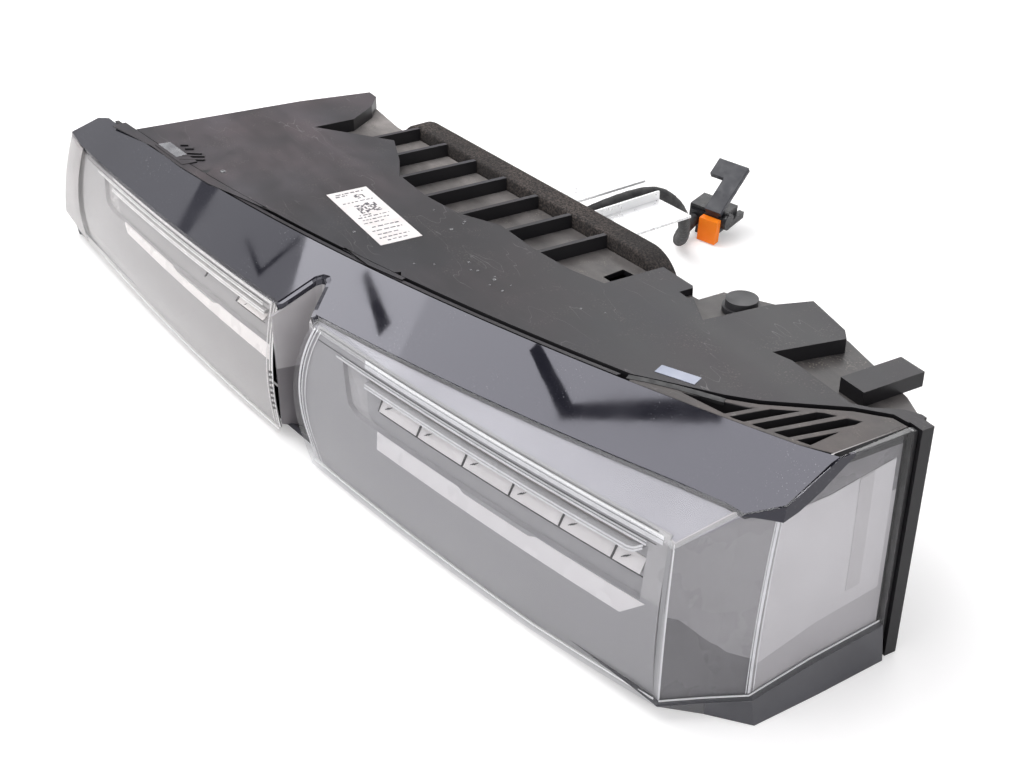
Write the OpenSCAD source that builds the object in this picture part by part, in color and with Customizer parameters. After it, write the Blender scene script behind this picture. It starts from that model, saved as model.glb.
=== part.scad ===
// Rear light cluster of a car: a black tub housing, two clear covers joined by a gloss black roof,
// light guides and reflectors inside, a foam gasket, brackets and a short lead on the hidden side.
// Drawn with the roof edge level, then leant by rest_tilt so that the underside lies on the floor.

/* [Overall] */
// Height of the deck over the underside at the wrapped end
lamp_h = 130; // [120:1:140]
// Radius in plan of the curved line between deck and roof
arc_r = 1760; // [1700:10:1850]
// Length of that curved line
arc_len = 560; // [556:1:564]
// Heading of the curved line at the wrapped end, from the long axis
arc_head = 24.5; // [24:0.1:25]
// Slope of the underside against the deck
rest_tilt = 5; // [4.5:0.1:5.5]

/* [Roof and covers] */
// Width of the roof at the wrapped end, in the middle and at the far end
roof_near = 58.5; // [56:0.5:61]
roof_mid = 38; // [36:0.5:40]
roof_far = 23; // [21:0.5:25]
// Fall of the roof for each millimetre outwards
roof_fall = 0.57; // [0.52:0.01:0.62]
// Width of the black part of the roof
black_w = 32; // [30:0.5:34]
// Least width of the near cover's clear strip on the roof
strip_w = 5; // [4:0.5:7]
// Wall of the roof and the covers
cover_t = 3; // [2.5:0.1:3.5]
// How far the face swells out at half height
face_bulge = 4.5; // [3:0.5:6]
// How far the lower edge of the face stands forward of the upper edge
foot_lean = 7; // [5:0.5:9]
// Height of the covers' lower edge over the underside
foot_rise = 10; // [8:0.5:12]
// Distance of the floor line behind the covers' lower edge
kick = 20; // [17:0.5:23]

/* [Notch between the covers] */
// Middle of the notch along the curved line
notch_u = 290; // [286:1:294]
// Width of the notch at the face
notch_w = 32; // [28:1:36]
// How far the near cover's edge swells into the notch at half height
notch_swell = 9; // [6:0.5:11]
// Distance of the notch's tip from the curved line
notch_tip = 12; // [11:0.5:15]
// Wall of the liner in the notch
liner_t = 2; // [1.5:0.1:2.5]

/* [Housing] */
// Wall of the tub
wall = 3; // [2.5:0.1:3.5]
// Step between the deck and the bay floor
step_h = 8; // [6:0.5:10]
// Width of the groove behind the roof
groove_w = 6; // [5:0.5:8]
// Thickness of the lip that stands in that groove
groove_lip = 2.2; // [1.6:0.1:2.6]
// Thickness of the bay's ribs
rib_t = 3; // [2:0.5:4]
// Spacing of the bay's ribs
rib_pitch = 31.5; // [28:0.5:34]
// Width and reach of the locating tab on the deck
tab_w = 16; // [12:1:18]
tab_reach = 37; // [34:1:44]

/* [Light units] */
// Depth of the bezel's face behind the cover
bezel_d = 12; // [11:0.5:14]
// Thickness of the bezel
bezel_t = 2; // [1.6:0.1:2.4]
// Depth of the light guide's edge behind the cover
guide_d = 7.5; // [6.5:0.5:9]
// Height of the light guide
guide_h = 3; // [2.4:0.1:3.4]
// Length of one reflector cell
cell_l = 32; // [28:0.5:36]
// Number of full reflector cells in the near unit
cell_n = 5; // [4:1:5]
// Depth of the boards behind the cover
board_d = 29; // [28.6:0.1:30]
// Thickness of the boards
board_t = 1.6; // [1:0.1:1.8]
// Spacing of the light-emitting chips
chip_pitch = 16; // [12:1:24]
// Running clearance between neighbouring pieces
clear = 0.3; // [0.2:0.05:0.4]

/* [Rear side] */
// Distance across the gasket loop, along the rear wall
gasket_l = 262; // [252:1:266]
// Height of the gasket loop
gasket_h = 84; // [78:1:86]
// Width of the foam strip and its depth
foam_w = 9; // [7:0.5:11]
foam_d = 15; // [10:0.5:16]
// Corner radius of the gasket loop
gasket_r = 24; // [20:1:36]
// Diameter and free length of the mounting studs
stud_d = 6; // [5:0.5:8]
stud_l = 24; // [18:1:30]
// Diameter and length of the locating pin
pin_d = 8; // [6:0.5:10]
pin_l = 14; // [10:1:18]
// Thickness of the bright sheet brackets
sheet_t = 1.5; // [1.2:0.1:2]
// Diameter of the lead
lead_d = 8; // [7:0.5:9]
// Length, width and height of the plug's body
plug_l = 25; // [22:1:28]
plug_w = 24; // [22:1:26]
plug_h = 12; // [11:0.5:13]
// Length and slope of the plug's lever
lever_l = 41; // [36:1:44]
lever_rise = 31; // [24:1:36]

/* [Hidden] */
$fn = 48;
// Place of the drawing frame's floor point once the lamp stands with its middle at the origin
stand_x = 282.7;
stand_y = 32.5;

// Plan curve: positions are given as u, the distance along it from the wrapped end, and a,
// the distance outwards from it
arc_centre = [-arc_r * sin(arc_head), arc_r * cos(arc_head)];
function heading(u) = arc_head - u * 180 / (PI * arc_r);
function outward(u) = [sin(heading(u)), -cos(heading(u))];
function plan(u, a) = arc_centre + (arc_r + a) * outward(u);
function steps(a, b, n) = [for (i = [0:n]) a + (b - a) * i / n];

// Heights: the deck is level and the underside slopes up towards the far end
floor_x = 10;
function floor_z(p) = tan(rest_tilt) * (floor_x - p[0]);
function roof_z(p) = min(lamp_h, lamp_h - roof_fall * (norm([p[0], p[1]] - arc_centre) - arc_r));

// Roof width as a parabola through its three given widths
function roof_w(u) = let (t = u / arc_len)
    roof_near * (1 - t) * (1 - 2 * t) + roof_mid * 4 * t * (1 - t) + roof_far * t * (2 * t - 1);
near_u = 52;
far_u = 552;
near_edge_u = notch_u - notch_w / 2;
far_edge_u = notch_u + notch_w / 2;
// Front edge of the black roof: against the inside of the far cover, and short of the near one
function black_a(u) = u < notch_u ? min(black_w, roof_w(u) - strip_w) : roof_w(u) - cover_t - 0.5;

// A column is one upright line of the outside: top, its height, foot, its height, inner end of
// the roof strip, set-back of the floor line, swell
function column(u) = let (b = plan(u, roof_w(u) + foot_lean))
    [plan(u, roof_w(u)), roof_z(plan(u, roof_w(u))), b, floor_z(b) + foot_rise,
     plan(u, black_a(u)), kick, 1];
function given(t, b, zb, f, k, s) = [t, roof_z(t), b, zb, f, k, s];
// Columns of the wrapped end: corner, roof tip, fold, shoulder and rear edge
wrap = [given([-10, -67.5], [-8.5, -71.5], 14.5, [-10.6, -40.4], 11, 0.6),
        given([-1, -38], [1, -51], 14, [-3.5, -34.5], 3, 0.5),
        given([9, -28], [10, -32], 13, [5, -24], -5, 0.3),
        given([7.5, 5], [8.5, 5], 16, [4.3, 5], -5, 0.2),
        given([7, 47], [8, 47], 20, [4, 47], -3, 0)];
// Columns of the far end: inner end, rear corner and tip
tail_z = lamp_h - step_h - 0.5;
tail = [[[-514, -140], tail_z, [-514, -140], 60, [-514, -142], 0, 0],
        [[-534, -151], tail_z, [-536, -156], 60, [-533, -154], 0, 0],
        [[-548, -169.5], 117.4, [-550, -181], 66, [-545, -167], 12, 1.4]];
near_columns = concat([for (u = steps(near_edge_u, near_u, 15)) column(u)], wrap);
far_columns = concat(tail, [for (u = steps(far_u, far_edge_u, 15)) column(u)]);

// Outward direction and mitre factor at column i of a list
function unit(v) = v / norm(v);
function turned(v) = unit([v[1], -v[0]]);
function flat(c) = (c[0] + c[2]) / 2;
function side_dir(cs, i) = turned(flat(cs[i + 1]) - flat(cs[i]));
function mitre(cs, i) =
    i == 0 ? concat(side_dir(cs, 0), 1) :
    i == len(cs) - 1 ? concat(side_dir(cs, i - 1), 1) :
    let (a = side_dir(cs, i - 1), m = unit(a + side_dir(cs, i))) concat(m, 1 / (m * a));
// Point of column i at share s of its height, dz above that and depth d behind the face
function on_column(cs, i, s, d, dz = 0) =
    let (c = cs[i], m = mitre(cs, i), out = [m[0], m[1]],
         p = c[0] + (c[2] - c[0]) * s + (face_bulge * c[6] * 4 * s * (1 - s) - d * m[2]) * out)
    [p[0], p[1], c[1] + (c[3] - c[1]) * s + dz];
// The same for any place u of the curved front
function behind(u, s, d, dz = 0) =
    let (w = roof_w(u) + foot_lean * s + face_bulge * 4 * s * (1 - s) - d, p = plan(u, w),
         zt = roof_z(plan(u, roof_w(u))), zb = floor_z(plan(u, roof_w(u) + foot_lean)) + foot_rise)
    [p[0], p[1], zt + (zb - zt) * s + dz];

// Closed skin between two grids of points, one line of points for each column: outer has its
// columns from left to right and its points from the top down, as seen from outside
module skin(outer, inner) {
    n = len(outer);
    k = len(outer[0]);
    function o(i, j) = i * k + j;
    function q(i, j) = n * k + i * k + j;
    function quad(a, b, c, d) = [[a, b, c], [a, c, d]];
    points = concat([for (c = outer) for (p = c) p], [for (c = inner) for (p = c) p]);
    faces = concat(
        [for (i = [0:n - 2]) for (j = [0:k - 2])
            each quad(o(i, j), o(i + 1, j), o(i + 1, j + 1), o(i, j + 1))],
        [for (i = [0:n - 2]) for (j = [0:k - 2])
            each quad(q(i, j), q(i, j + 1), q(i + 1, j + 1), q(i + 1, j))],
        [for (i = [0:n - 2]) each quad(q(i, 0), q(i + 1, 0), o(i + 1, 0), o(i, 0))],
        [for (i = [0:n - 2]) each quad(o(i, k - 1), o(i + 1, k - 1), q(i + 1, k - 1), q(i, k - 1))],
        [for (j = [0:k - 2]) each quad(q(0, j), o(0, j), o(0, j + 1), q(0, j + 1))],
        [for (j = [0:k - 2])
            each quad(o(n - 1, j), q(n - 1, j), q(n - 1, j + 1), o(n - 1, j + 1))]);
    polyhedron(points, faces, convexity = 10);
}
// Skin of a curved strip behind the front: front and back list share and depth for each line
module strip(us, front, back) {
    skin([for (u = us) [for (f = front) behind(u, f[0], f[1])]],
         [for (u = us) [for (b = back) behind(u, b[0], b[1])]]);
}

// Outlines in plan
body = [[-506, -200], [-496, -28], [-488, 19], [-440, 16], [-177, 42], [-150, 46], [-150, 62],
        [-108, 88], [-77, 84], [-24, 73], [-8, 66], [2, 59], [2, -200]];
deck = [[-506, -200], [-496, -28], [-488, 19], [-478, 19], [-464, 9], [-449, -11], [-449, -38],
        [-404, -4], [-374, -15], [-354, -25], [-321, -25], [-290, -20], [-264, -7], [-230, -6],
        [-199, -2], [-177, 5], [-177, 42], [-152, 43], [-140, 35], [-120, 26], [-116, 63],
        [-108, 86], [-77, 80], [-70, 75], [-78, 36], [-67, 39], [-24, 38], [-17, 43], [-8, 55],
        [-1, 59], [2, 59], [2, -200]];
gap_line = [[-93, -36], [-81, -27], [-56, -9], [-44, 2], [-19, 34], [-5, 46], [3.6, 47]];
gap_w = 2.2;
function inset(ps, d) = [for (i = [0:len(ps) - 1])
    let (n = len(ps), p = ps[i], a = turned(p - ps[(i + n - 1) % n]),
         b = turned(ps[(i + 1) % n] - p), m = unit(a + b)) p + d * m / (m * a)];
module disc(a) {
    translate(arc_centre) circle(r = arc_r + a, $fn = 720);
}
module plate(z0, z1) {
    translate([0, 0, z0]) linear_extrude(z1 - z0) children();
}
// Half space under the sloped floor plane, raised by lift
module underside(lift = 0) {
    translate([floor_x, 0, 0]) rotate([0, rest_tilt, 0])
        translate([-900, -500, lift - 300]) cube([1800, 1200, 300]);
}

deck_z = lamp_h - wall;
bay_z = lamp_h - step_h;
// Corner plate between the roof's rear edge and the deck's curved gap
plate_us = [98, 80, 60, 40, 20, 10];
corner_outline = concat(gap_line, [[3.7, 5]],
    [for (i = [len(plate_us) - 1:-1:0]) plan(plate_us[i], -clear)]);
// Line on the underside where the lower trim ends
function floor_point(c, m, back) =
    let (p = c[2] - (c[5] + back * m[2]) * [m[0], m[1]]) [p[0], p[1], floor_z(p)];
trim_columns = concat([for (u = steps(far_u, near_u, 28)) column(u)], wrap);
trim_w = 8;
seam = 0.1;
floor_front = [for (i = [0:len(trim_columns) - 1])
    let (p = floor_point(trim_columns[i], mitre(trim_columns, i), trim_w + 4 * clear)) [p[0], p[1]]];

// Housing: floor, walls, bay floor, raised deck, rear flange strips and ribs
rib_first = -416;
rib_n = 7;
bead_w = 1.6;
tab_x = -44;
tab_y = 49;
boss_d = 16;
boss_h = 4;
optics_back = 9.5;
// A place on the outer wall: walls are numbered as in the outline body, z is the height
module on_wall(i, z) {
    a = body[i];
    b = body[i + 1];
    translate([(a[0] + b[0]) / 2, (a[1] + b[1]) / 2, z])
        rotate(atan2(b[1] - a[1], b[0] - a[0])) children();
}
// Bore square through the wall and its boss
module bore(d) {
    rotate([-90, 0, 0]) translate([0, 0, -wall - 1]) cylinder(d = d, h = wall + boss_h + 2);
}
module raised_deck() {
    plate(bay_z, lamp_h) difference() {
        intersection() {
            polygon(deck);
            disc(-groove_w);
        }
        translate([-gap_w, gap_w]) polygon(concat(gap_line, [[60, 47], [60, -300], [-93, -300]]));
        translate([1, 47 - gap_w]) square([10, 3 + gap_w]);
    }
}
module bay_ribs() {
    plate(bay_z, lamp_h) intersection() {
        difference() {
            polygon(body);
            polygon(deck);
        }
        for (i = [0:rib_n - 1]) translate([rib_first + i * rib_pitch, -60]) square([rib_t, 106]);
    }
}
module housing() color("#2b2a2c") {
    difference() {
        union() {
            plate(bay_z - wall, bay_z) intersection() {
                polygon(body);
                disc(groove_w);
            }
            raised_deck();
            bay_ribs();
            // Lip in the groove behind the roof
            plate(bay_z, lamp_h - 0.5) intersection() {
                difference() {
                    disc(-bead_w);
                    disc(-bead_w - groove_lip);
                }
                polygon([[-524, -300], [-524, 0], [-98, 0], [-98, -300]]);
            }
            // Outer wall, open towards the covers
            plate(0, bay_z - wall) difference() {
                intersection() {
                    difference() {
                        polygon(body);
                        polygon(inset(body, wall));
                    }
                    disc(groove_w);
                }
                // The left wall stops short of the optics
                difference() {
                    translate([-520, -200]) square([40, 100]);
                    disc(-optics_back);
                }
            }
            // Rear flange at the wrapped end
            plate(0, lamp_h) translate([-4, 50]) square([13, 7]);
            // Locating tab
            plate(bay_z, lamp_h) translate([tab_x, tab_y]) square([tab_w, tab_reach]);
            // Bosses that carry the studs
            for (p = stud_places) on_wall(p[0], p[1]) rotate([-90, 0, 0])
                translate([0, 0, -1]) cylinder(d = boss_d, h = 1 + boss_h);
            intersection() {
                plate(0, bay_z) polygon(concat(floor_front, [[2, 59], [-8, 66], [-24, 73],
                    [-77, 84], [-108, 88], [-150, 62], [-150, 46], [-177, 42], [-440, 16],
                    [-488, 19], [-496, -28], [-506, -142]]));
                underside(wall);
            }
        }
        underside();
        // Hollow under the deck
        plate(bay_z - wall - 1, deck_z) difference() {
            intersection() {
                polygon(inset(deck, wall));
                disc(-groove_w - wall);
            }
            translate([-gap_w - wall, gap_w + wall])
                polygon(concat(gap_line, [[60, 47], [60, -300], [-93, -300]]));
            translate([-20, 40]) square([40, 30]);
        }
        // Openings through the bay floor and small pockets of the deck
        plate(bay_z - wall - 1, lamp_h + 1) polygon([[-196, 17], [-198, 31], [-180, 34], [-181, 18]]);
        plate(deck_z - 1, lamp_h + 1) translate([-150, 33]) square([8, 8]);
        plate(deck_z - 1, lamp_h + 1) polygon([[-243, -86], [-233, -84], [-241, -80]]);
        // Bores for the studs, the pin and the cover's screws
        for (p = stud_places) on_wall(p[0], p[1]) bore(stud_d + 2 * clear);
        on_wall(pin_wall, pin_z) bore(pin_d + 2 * clear);
        at_rear(cover_x, cover_z) for (p = screw_places)
            translate([p[0], 0, p[1]]) bore(screw_d + 2 * clear);
        // Window behind the rear cover
        at_rear(cover_x, cover_z) translate([-window_l / 2, -wall - 1, -window_h / 2])
            cube([window_l, wall + 2, window_h]);
    }
}

// Roof band between deck and clear covers, with a rear lip
function across(a, b) = [for (t = [0, 0.34, 0.67, 1]) a + (b - a) * t];
roof_ends = [for (u = steps(far_u, near_u, 30)) [plan(u, 0), plan(u, black_a(u) - seam)]];
roof_lines = concat([[[-536, -152], [-541.8, -165.8]]], roof_ends,
    [[plan(26, 0), wrap[0][4]], [plan(10, 0), wrap[1][4]], [wrap[3][4], wrap[2][4]]]);
module roof_skin() {
    skin([for (l = roof_lines) concat([[l[0][0], l[0][1], bay_z]],
            [for (p = across(l[0], l[1])) [p[0], p[1], roof_z(p)]])],
         [for (l = roof_lines) let (o = unit(l[1] - l[0]) * cover_t, r = l[0] + o)
            concat([[r[0], r[1], bay_z], [r[0], r[1], roof_z(r) - cover_t]],
            [for (p = [for (t = [0.34, 0.67, 1]) l[0] + (l[1] - l[0]) * t])
                [p[0], p[1], roof_z(p) - cover_t]])]);
}
// Outline of the notch, widened by g
function notch_path(g) = [for (q = [[0.5, 44], [0.5, 38], [0.3, 23], [0.2, 15.5], [0.08, 12.6],
        [-0.06, 12], [-0.15, 13.5], [-0.22, 18], [-0.31, 25], [-0.41, 32], [-0.5, 38],
        [-0.5, 44]])
    plan(notch_u + q[0] * notch_w + g * (q[0] > 0 ? 1 : -1) * (q[1] > 13 ? 1 : 0.4),
         q[1] - 12 + notch_tip - g)];
module notch_cut(g) {
    p = notch_path(g);
    polygon(concat(p, [plan(notch_u - notch_w / 2 - g, 90), plan(notch_u + notch_w / 2 + g, 90)]));
}
module roof_band() color("#16171c") {
    difference() {
        roof_skin();
        plate(60, lamp_h + 10) notch_cut(0);
    }
}

// Clear covers: a strip of roof and the face below it
face_shares = [0.1, 0.25, 0.4, 0.55, 0.7, 0.85, 1];
function cover_outer(cs, i) = let (f = cs[i][4])
    concat([[f[0], f[1], min(roof_z(f), cs[i][1] + 30)], [cs[i][0][0], cs[i][0][1], cs[i][1]]],
           [for (s = face_shares) on_column(cs, i, s, 0)]);
function cover_inner(cs, i) = let (f = cs[i][4], m = mitre(cs, i),
        t = cs[i][0] - cover_t * m[2] * [m[0], m[1]])
    concat([[f[0], f[1], min(roof_z(f), cs[i][1] + 30) - cover_t],
            [t[0], t[1], min(roof_z(t), cs[i][1] + 1) - cover_t]],
           [for (s = face_shares) on_column(cs, i, s, cover_t)]);
// The near cover's left edge swells into the notch
function swell_u(s) = near_edge_u + notch_swell * 4 * s * (1 - s);
module near_cover() color("#c9c7c9", 0.5) {
    cs = near_columns;
    top = cover_outer(cs, 0);
    under = cover_inner(cs, 0);
    skin(concat([[top[0], top[1], for (s = face_shares) behind(swell_u(s), s, 0)]],
                [for (i = [1:len(cs) - 1]) cover_outer(cs, i)]),
         concat([[under[0], under[1], for (s = face_shares) behind(swell_u(s), s, cover_t)]],
                [for (i = [1:len(cs) - 1]) cover_inner(cs, i)]));
}
module far_cover() color("#d2d0d1", 0.5) {
    skin([for (i = [0:len(far_columns) - 1]) [for (s = concat([0], face_shares))
            on_column(far_columns, i, s, 0)]],
         [for (i = [0:len(far_columns) - 1]) [for (s = concat([0], face_shares))
            on_column(far_columns, i, s, cover_t)]]);
}

// Gloss black lower trim from the covers' edge in to the floor line
module lower_trim() color("#3a3b40") {
    cs = trim_columns;
    skin([for (i = [0:len(cs) - 1])
            [on_column(cs, i, 1, 0, -seam), floor_point(cs[i], mitre(cs, i), 0)]],
         [for (i = [0:len(cs) - 1])
            [on_column(cs, i, 1, cover_t, -seam), floor_point(cs[i], mitre(cs, i), trim_w)]]);
}

// Corner plate with a ribbed pocket
pocket = [[-70, -22.5], [-44, -4], [-24, 22], [-10, 32], [-7, 0.5], [-41.5, -15.5]];
slat_n = 5;
slat_w = 3.2;
module corner_plate() color("#333133") {
    difference() {
        plate(bay_z, lamp_h) polygon(corner_outline);
        plate(bay_z + 2, lamp_h + 1) polygon(pocket);
    }
    plate(bay_z + 1, lamp_h) intersection() {
        offset(0.5) polygon(pocket);
        for (k = [0:slat_n - 1]) translate([-44.5 + k * 9.8, -18 + k * 4])
            rotate(-12) square([slat_w, 80], center = true);
    }
}
// The liner stands on the housing's floor, or over the lower trim further out
function liner_foot(p) = let (a = norm(p - arc_centre) - arc_r, b = roof_w(notch_u) + foot_lean)
    max(wall + clear, 3 * clear + foot_rise * (a - b + kick + trim_w) / (kick + trim_w - cover_t));
module notch_liner() color("#8f8e90") {
    p = notch_path(-liner_t - 2 * clear);
    cs = [for (i = [1:len(p) - 3])
        [p[i], roof_z(p[i]) - cover_t - clear, p[i], floor_z(p[i]) + liner_foot(p[i]), p[i], 0, 0]];
    skin([for (i = [0:len(cs) - 1]) [on_column(cs, i, 0, 0), on_column(cs, i, 1, 0)]],
         [for (i = [0:len(cs) - 1]) [on_column(cs, i, 0, liner_t), on_column(cs, i, 1, liner_t)]]);
}
// Bead of sealant between the roof's lip and the housing's lip
module sealing_bead() color("#101012") {
    plate(bay_z, bay_z + 4) intersection() {
        difference() {
            disc(-clear);
            disc(clear - bead_w);
        }
        polygon([[-520, -300], [-520, 0], [-98, 0], [-98, -300]]);
    }
}
module side_seal() color("#0e0e10") {
    difference() {
        plate(0, lamp_h - 1) translate([3 + clear, 47 + clear]) square([3.7, 3 - 2 * clear]);
        underside(0.2);
    }
}

// Light units
optics_start_u = 47;
near_us = steps(near_edge_u - 5, optics_start_u, 14);
optics_end_u = 529;
far_us = steps(optics_end_u, far_edge_u + 6, 14);
guide_s = 0.3;
bar_s = [0.58, 0.705];
// The carriers stand behind the boards, and the bezels' rims reach back to them
carrier_d = board_d + clear + board_t + clear;
rim_top = carrier_d - 0.5;
rim_low = carrier_d - 1.2;
guide_back = 25;
bar_back = 17.2;
bezel_front = [[0.07, rim_top], [0.09, bezel_d - 1], [0.25, bezel_d], [0.25, guide_back],
               [0.445, guide_back], [0.445, bezel_d], [0.555, bezel_d], [0.555, bar_back],
               [0.725, bar_back], [0.725, bezel_d], [0.95, bezel_d - 1], [0.965, rim_low]];
bezel_back = [[0.095, rim_top], [0.115, bezel_d - 1 + bezel_t], [0.225, bezel_d + bezel_t],
              [0.225, guide_back + bezel_t], [0.47, guide_back + bezel_t],
              [0.47, bezel_d + bezel_t], [0.53, bezel_d + bezel_t], [0.53, bar_back + bezel_t],
              [0.75, bar_back + bezel_t], [0.75, bezel_d + bezel_t],
              [0.925, bezel_d - 1 + bezel_t], [0.94, rim_low]];
module near_bezel() color("#a9a7a8") strip(near_us, bezel_front, bezel_back);
module far_bezel() color("#b5b3b3") strip(far_us, bezel_front, bezel_back);
module guide(us) {
    skin([for (u = us) [behind(u, guide_s, guide_d, guide_h / 2),
                        behind(u, guide_s, guide_d, -guide_h / 2)]],
         [for (u = us) [behind(u, guide_s, guide_back - clear, guide_h / 2),
                        behind(u, guide_s, guide_back - clear, -guide_h / 2)]]);
}
near_guide_us = steps(near_edge_u - 29, optics_start_u + 11, 12);
far_guide_us = steps(optics_end_u - 7, far_edge_u + 26, 12);
module near_light_guide() color("#eceaea") guide(near_guide_us);
module far_light_guide() color("#eceaea") guide(far_guide_us);
// Row of cells: a slanted reflector with a divider at each end of each cell
module cells(ends) {
    us = steps(ends[0], ends[len(ends) - 1], 12);
    strip(us, [[0.335, 23], [0.44, 13.2]], [[0.335, 24.6], [0.44, 14.8]]);
    for (u = ends)
        strip([u + 0.6, u - 0.6], [[0.34, 12.5], [0.43, 12.6]], [[0.34, 23.3], [0.43, 14.9]]);
}
near_cells = concat([for (i = [0:cell_n]) let (u = near_edge_u - 42 - i * cell_l)
    if (u > optics_start_u + 24) u], [optics_start_u + 10]);
far_cells = steps(optics_end_u - 29, far_edge_u + 34, 4);
module near_cell_reflector() color("#d5d3d2") cells(near_cells);
module far_cell_reflector() color("#d5d3d2") cells(far_cells);
// White optic bar with a narrower waist from w0 to w1 and an end that slants
function bar_top(u, w0, w1) = u < w0 && u > w1 ? bar_s[0] + 0.035 : bar_s[0];
module optic(us, w0, w1, slant) {
    last = len(us) - 1;
    skin([for (i = [0:last]) [behind(us[i], bar_top(us[i], w0, w1), bezel_d + 0.6),
                              behind(us[i] + (i == last ? slant : 0), bar_s[1], bezel_d + 0.6)]],
         [for (i = [0:last]) [behind(us[i], bar_top(us[i], w0, w1), bar_back - clear),
                              behind(us[i] + (i == last ? slant : 0), bar_s[1], bar_back - clear)]]);
}
// Each bar runs from end to end; a share of its length places the waist and the points between
bar_slant = 11;
near_bar = [near_edge_u - 43, optics_start_u + 9];
far_bar = [optics_end_u - 24, far_edge_u + 30];
function along(ends, share) = ends[0] + (ends[1] - ends[0]) * share;
near_bar_us = [for (x = [0, 16, 31, 46, 61, 65, 81, 96, 110, 114, 126, 141, 153, 175]) along(near_bar, x / 175)];
far_bar_us = [for (x = [0, 15, 35, 55, 65, 69, 85, 100, 115, 119, 135, 153, 169]) along(far_bar, x / 169)];
module near_optic_bar() color("#f4f1ef")
    optic(near_bar_us, along(near_bar, 63 / 175), along(near_bar, 112 / 175), bar_slant);
module far_optic_bar() color("#f4f1ef")
    optic(far_bar_us, along(far_bar, 67 / 169), along(far_bar, 117 / 169), 0);
module board(us) {
    strip(us, [[0.24, board_d + clear], [0.78, board_d + clear]],
          [[0.24, carrier_d - clear], [0.78, carrier_d - clear]]);
}
module near_led_board() color("#2f5d46") board(near_us);
module far_led_board() color("#2f5d46") board(far_us);
chip_s = [0.34, 0.64];
module chips(us) {
    for (u = us) for (s = chip_s)
        strip([u + 1.8, u - 1.8], [[s - 0.02, board_d - 1.3], [s + 0.02, board_d - 1.3]],
              [[s - 0.02, board_d + clear], [s + 0.02, board_d + clear]]);
}
module led_chips() color("#e9dd8c") {
    chips([for (u = [optics_start_u + 15:chip_pitch:near_edge_u - 40]) u]);
    chips([for (u = [far_edge_u + 24:chip_pitch:optics_end_u - 12]) u]);
}
// Plate that carries the boards and stands on the floor of the tub
carrier_t = 2.2;
function carrier_line(u, d) = let (q = behind(u, 0.9, d))
    [for (s = [0.06, 0.24, 0.78]) behind(u, s, d), [q[0], q[1], floor_z(q) + wall + clear]];
module carrier(us) {
    skin([for (u = us) carrier_line(u, carrier_d)],
         [for (u = us) carrier_line(u, carrier_d + carrier_t)]);
}
module near_carrier() color("#232325") carrier(steps(near_edge_u, optics_start_u, 12));
module far_carrier() color("#232325") carrier(steps(optics_end_u, far_edge_u, 12));
// Lining of the near cover between some of its columns, of thickness t
fold_i = len(near_columns) - 3;
module lining(columns, t, shares) {
    d = cover_t + clear;
    skin([for (i = columns) [for (s = shares) on_column(near_columns, i, s, d)]],
         [for (i = columns) [for (s = shares) on_column(near_columns, i, s, d + t)]]);
}
// Frosted diffuser behind the side face and dark bezel behind the corner facet
module side_diffuser() color("#cfcdcd") {
    lining([fold_i, fold_i + 1, fold_i + 2], 1.2, [0.1, 0.25, 0.4, 0.55, 0.7, 0.85]);
}
module corner_bezel() color("#4b4b50") {
    lining([fold_i - 2, fold_i - 1, fold_i], bezel_t, [0.1, 0.25, 0.4, 0.55, 0.7, 0.85, 0.97]);
}

// Rear side: a frame with X along the rear wall, Y out of it and Z up
rear_from = [-440, 16];
rear_to = [-177, 42];
rear_head = atan2(rear_to[1] - rear_from[1], rear_to[0] - rear_from[0]);
rear_l = norm(rear_to - rear_from);
module at_rear(x, z) {
    translate([rear_from[0], rear_from[1], 0]) rotate(rear_head) translate([x, 0, z]) children();
}
function rear_point(x, y, z) = [rear_from[0] + x * cos(rear_head) - y * sin(rear_head),
                                rear_from[1] + x * sin(rear_head) + y * cos(rear_head), z];
loop_x = rear_l / 2;
loop_z = lamp_h - gasket_h / 2;
module rounded(l, h, r) {
    square([l - 2 * r, h], center = true);
    square([l, h - 2 * r], center = true);
    for (x = [-1, 1]) for (y = [-1, 1])
        translate([x * (l / 2 - r), y * (h / 2 - r)]) circle(r = r, $fn = 64);
}
// Sheet in the rear frame: drawn from behind, thick along Y
module rear_sheet(y0, y1) {
    translate([0, y0, 0]) rotate([90, 0, 0]) mirror([0, 0, 1]) linear_extrude(y1 - y0) children();
}
module foam_gasket() color("#3a322e") {
    at_rear(loop_x, loop_z) rear_sheet(clear, foam_d) difference() {
        rounded(gasket_l, gasket_h, gasket_r);
        rounded(gasket_l - 2 * foam_w, gasket_h - 2 * foam_w, gasket_r - foam_w);
    }
}
cover_x = loop_x;
cover_z = loop_z;
cover_l = gasket_l - 2 * foam_w - 2;
cover_h = gasket_h - 2 * foam_w - 2;
cover_depth = 9;
cover_r = gasket_r - foam_w - 1;
window_l = cover_l - 60;
window_h = cover_h - 16;
screw_d = 3;
screw_places = [for (x = [-1, 1]) for (z = [-1, 1])
    [x * (cover_l / 2 - 13), z * (cover_h / 2 - 13)]];
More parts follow.
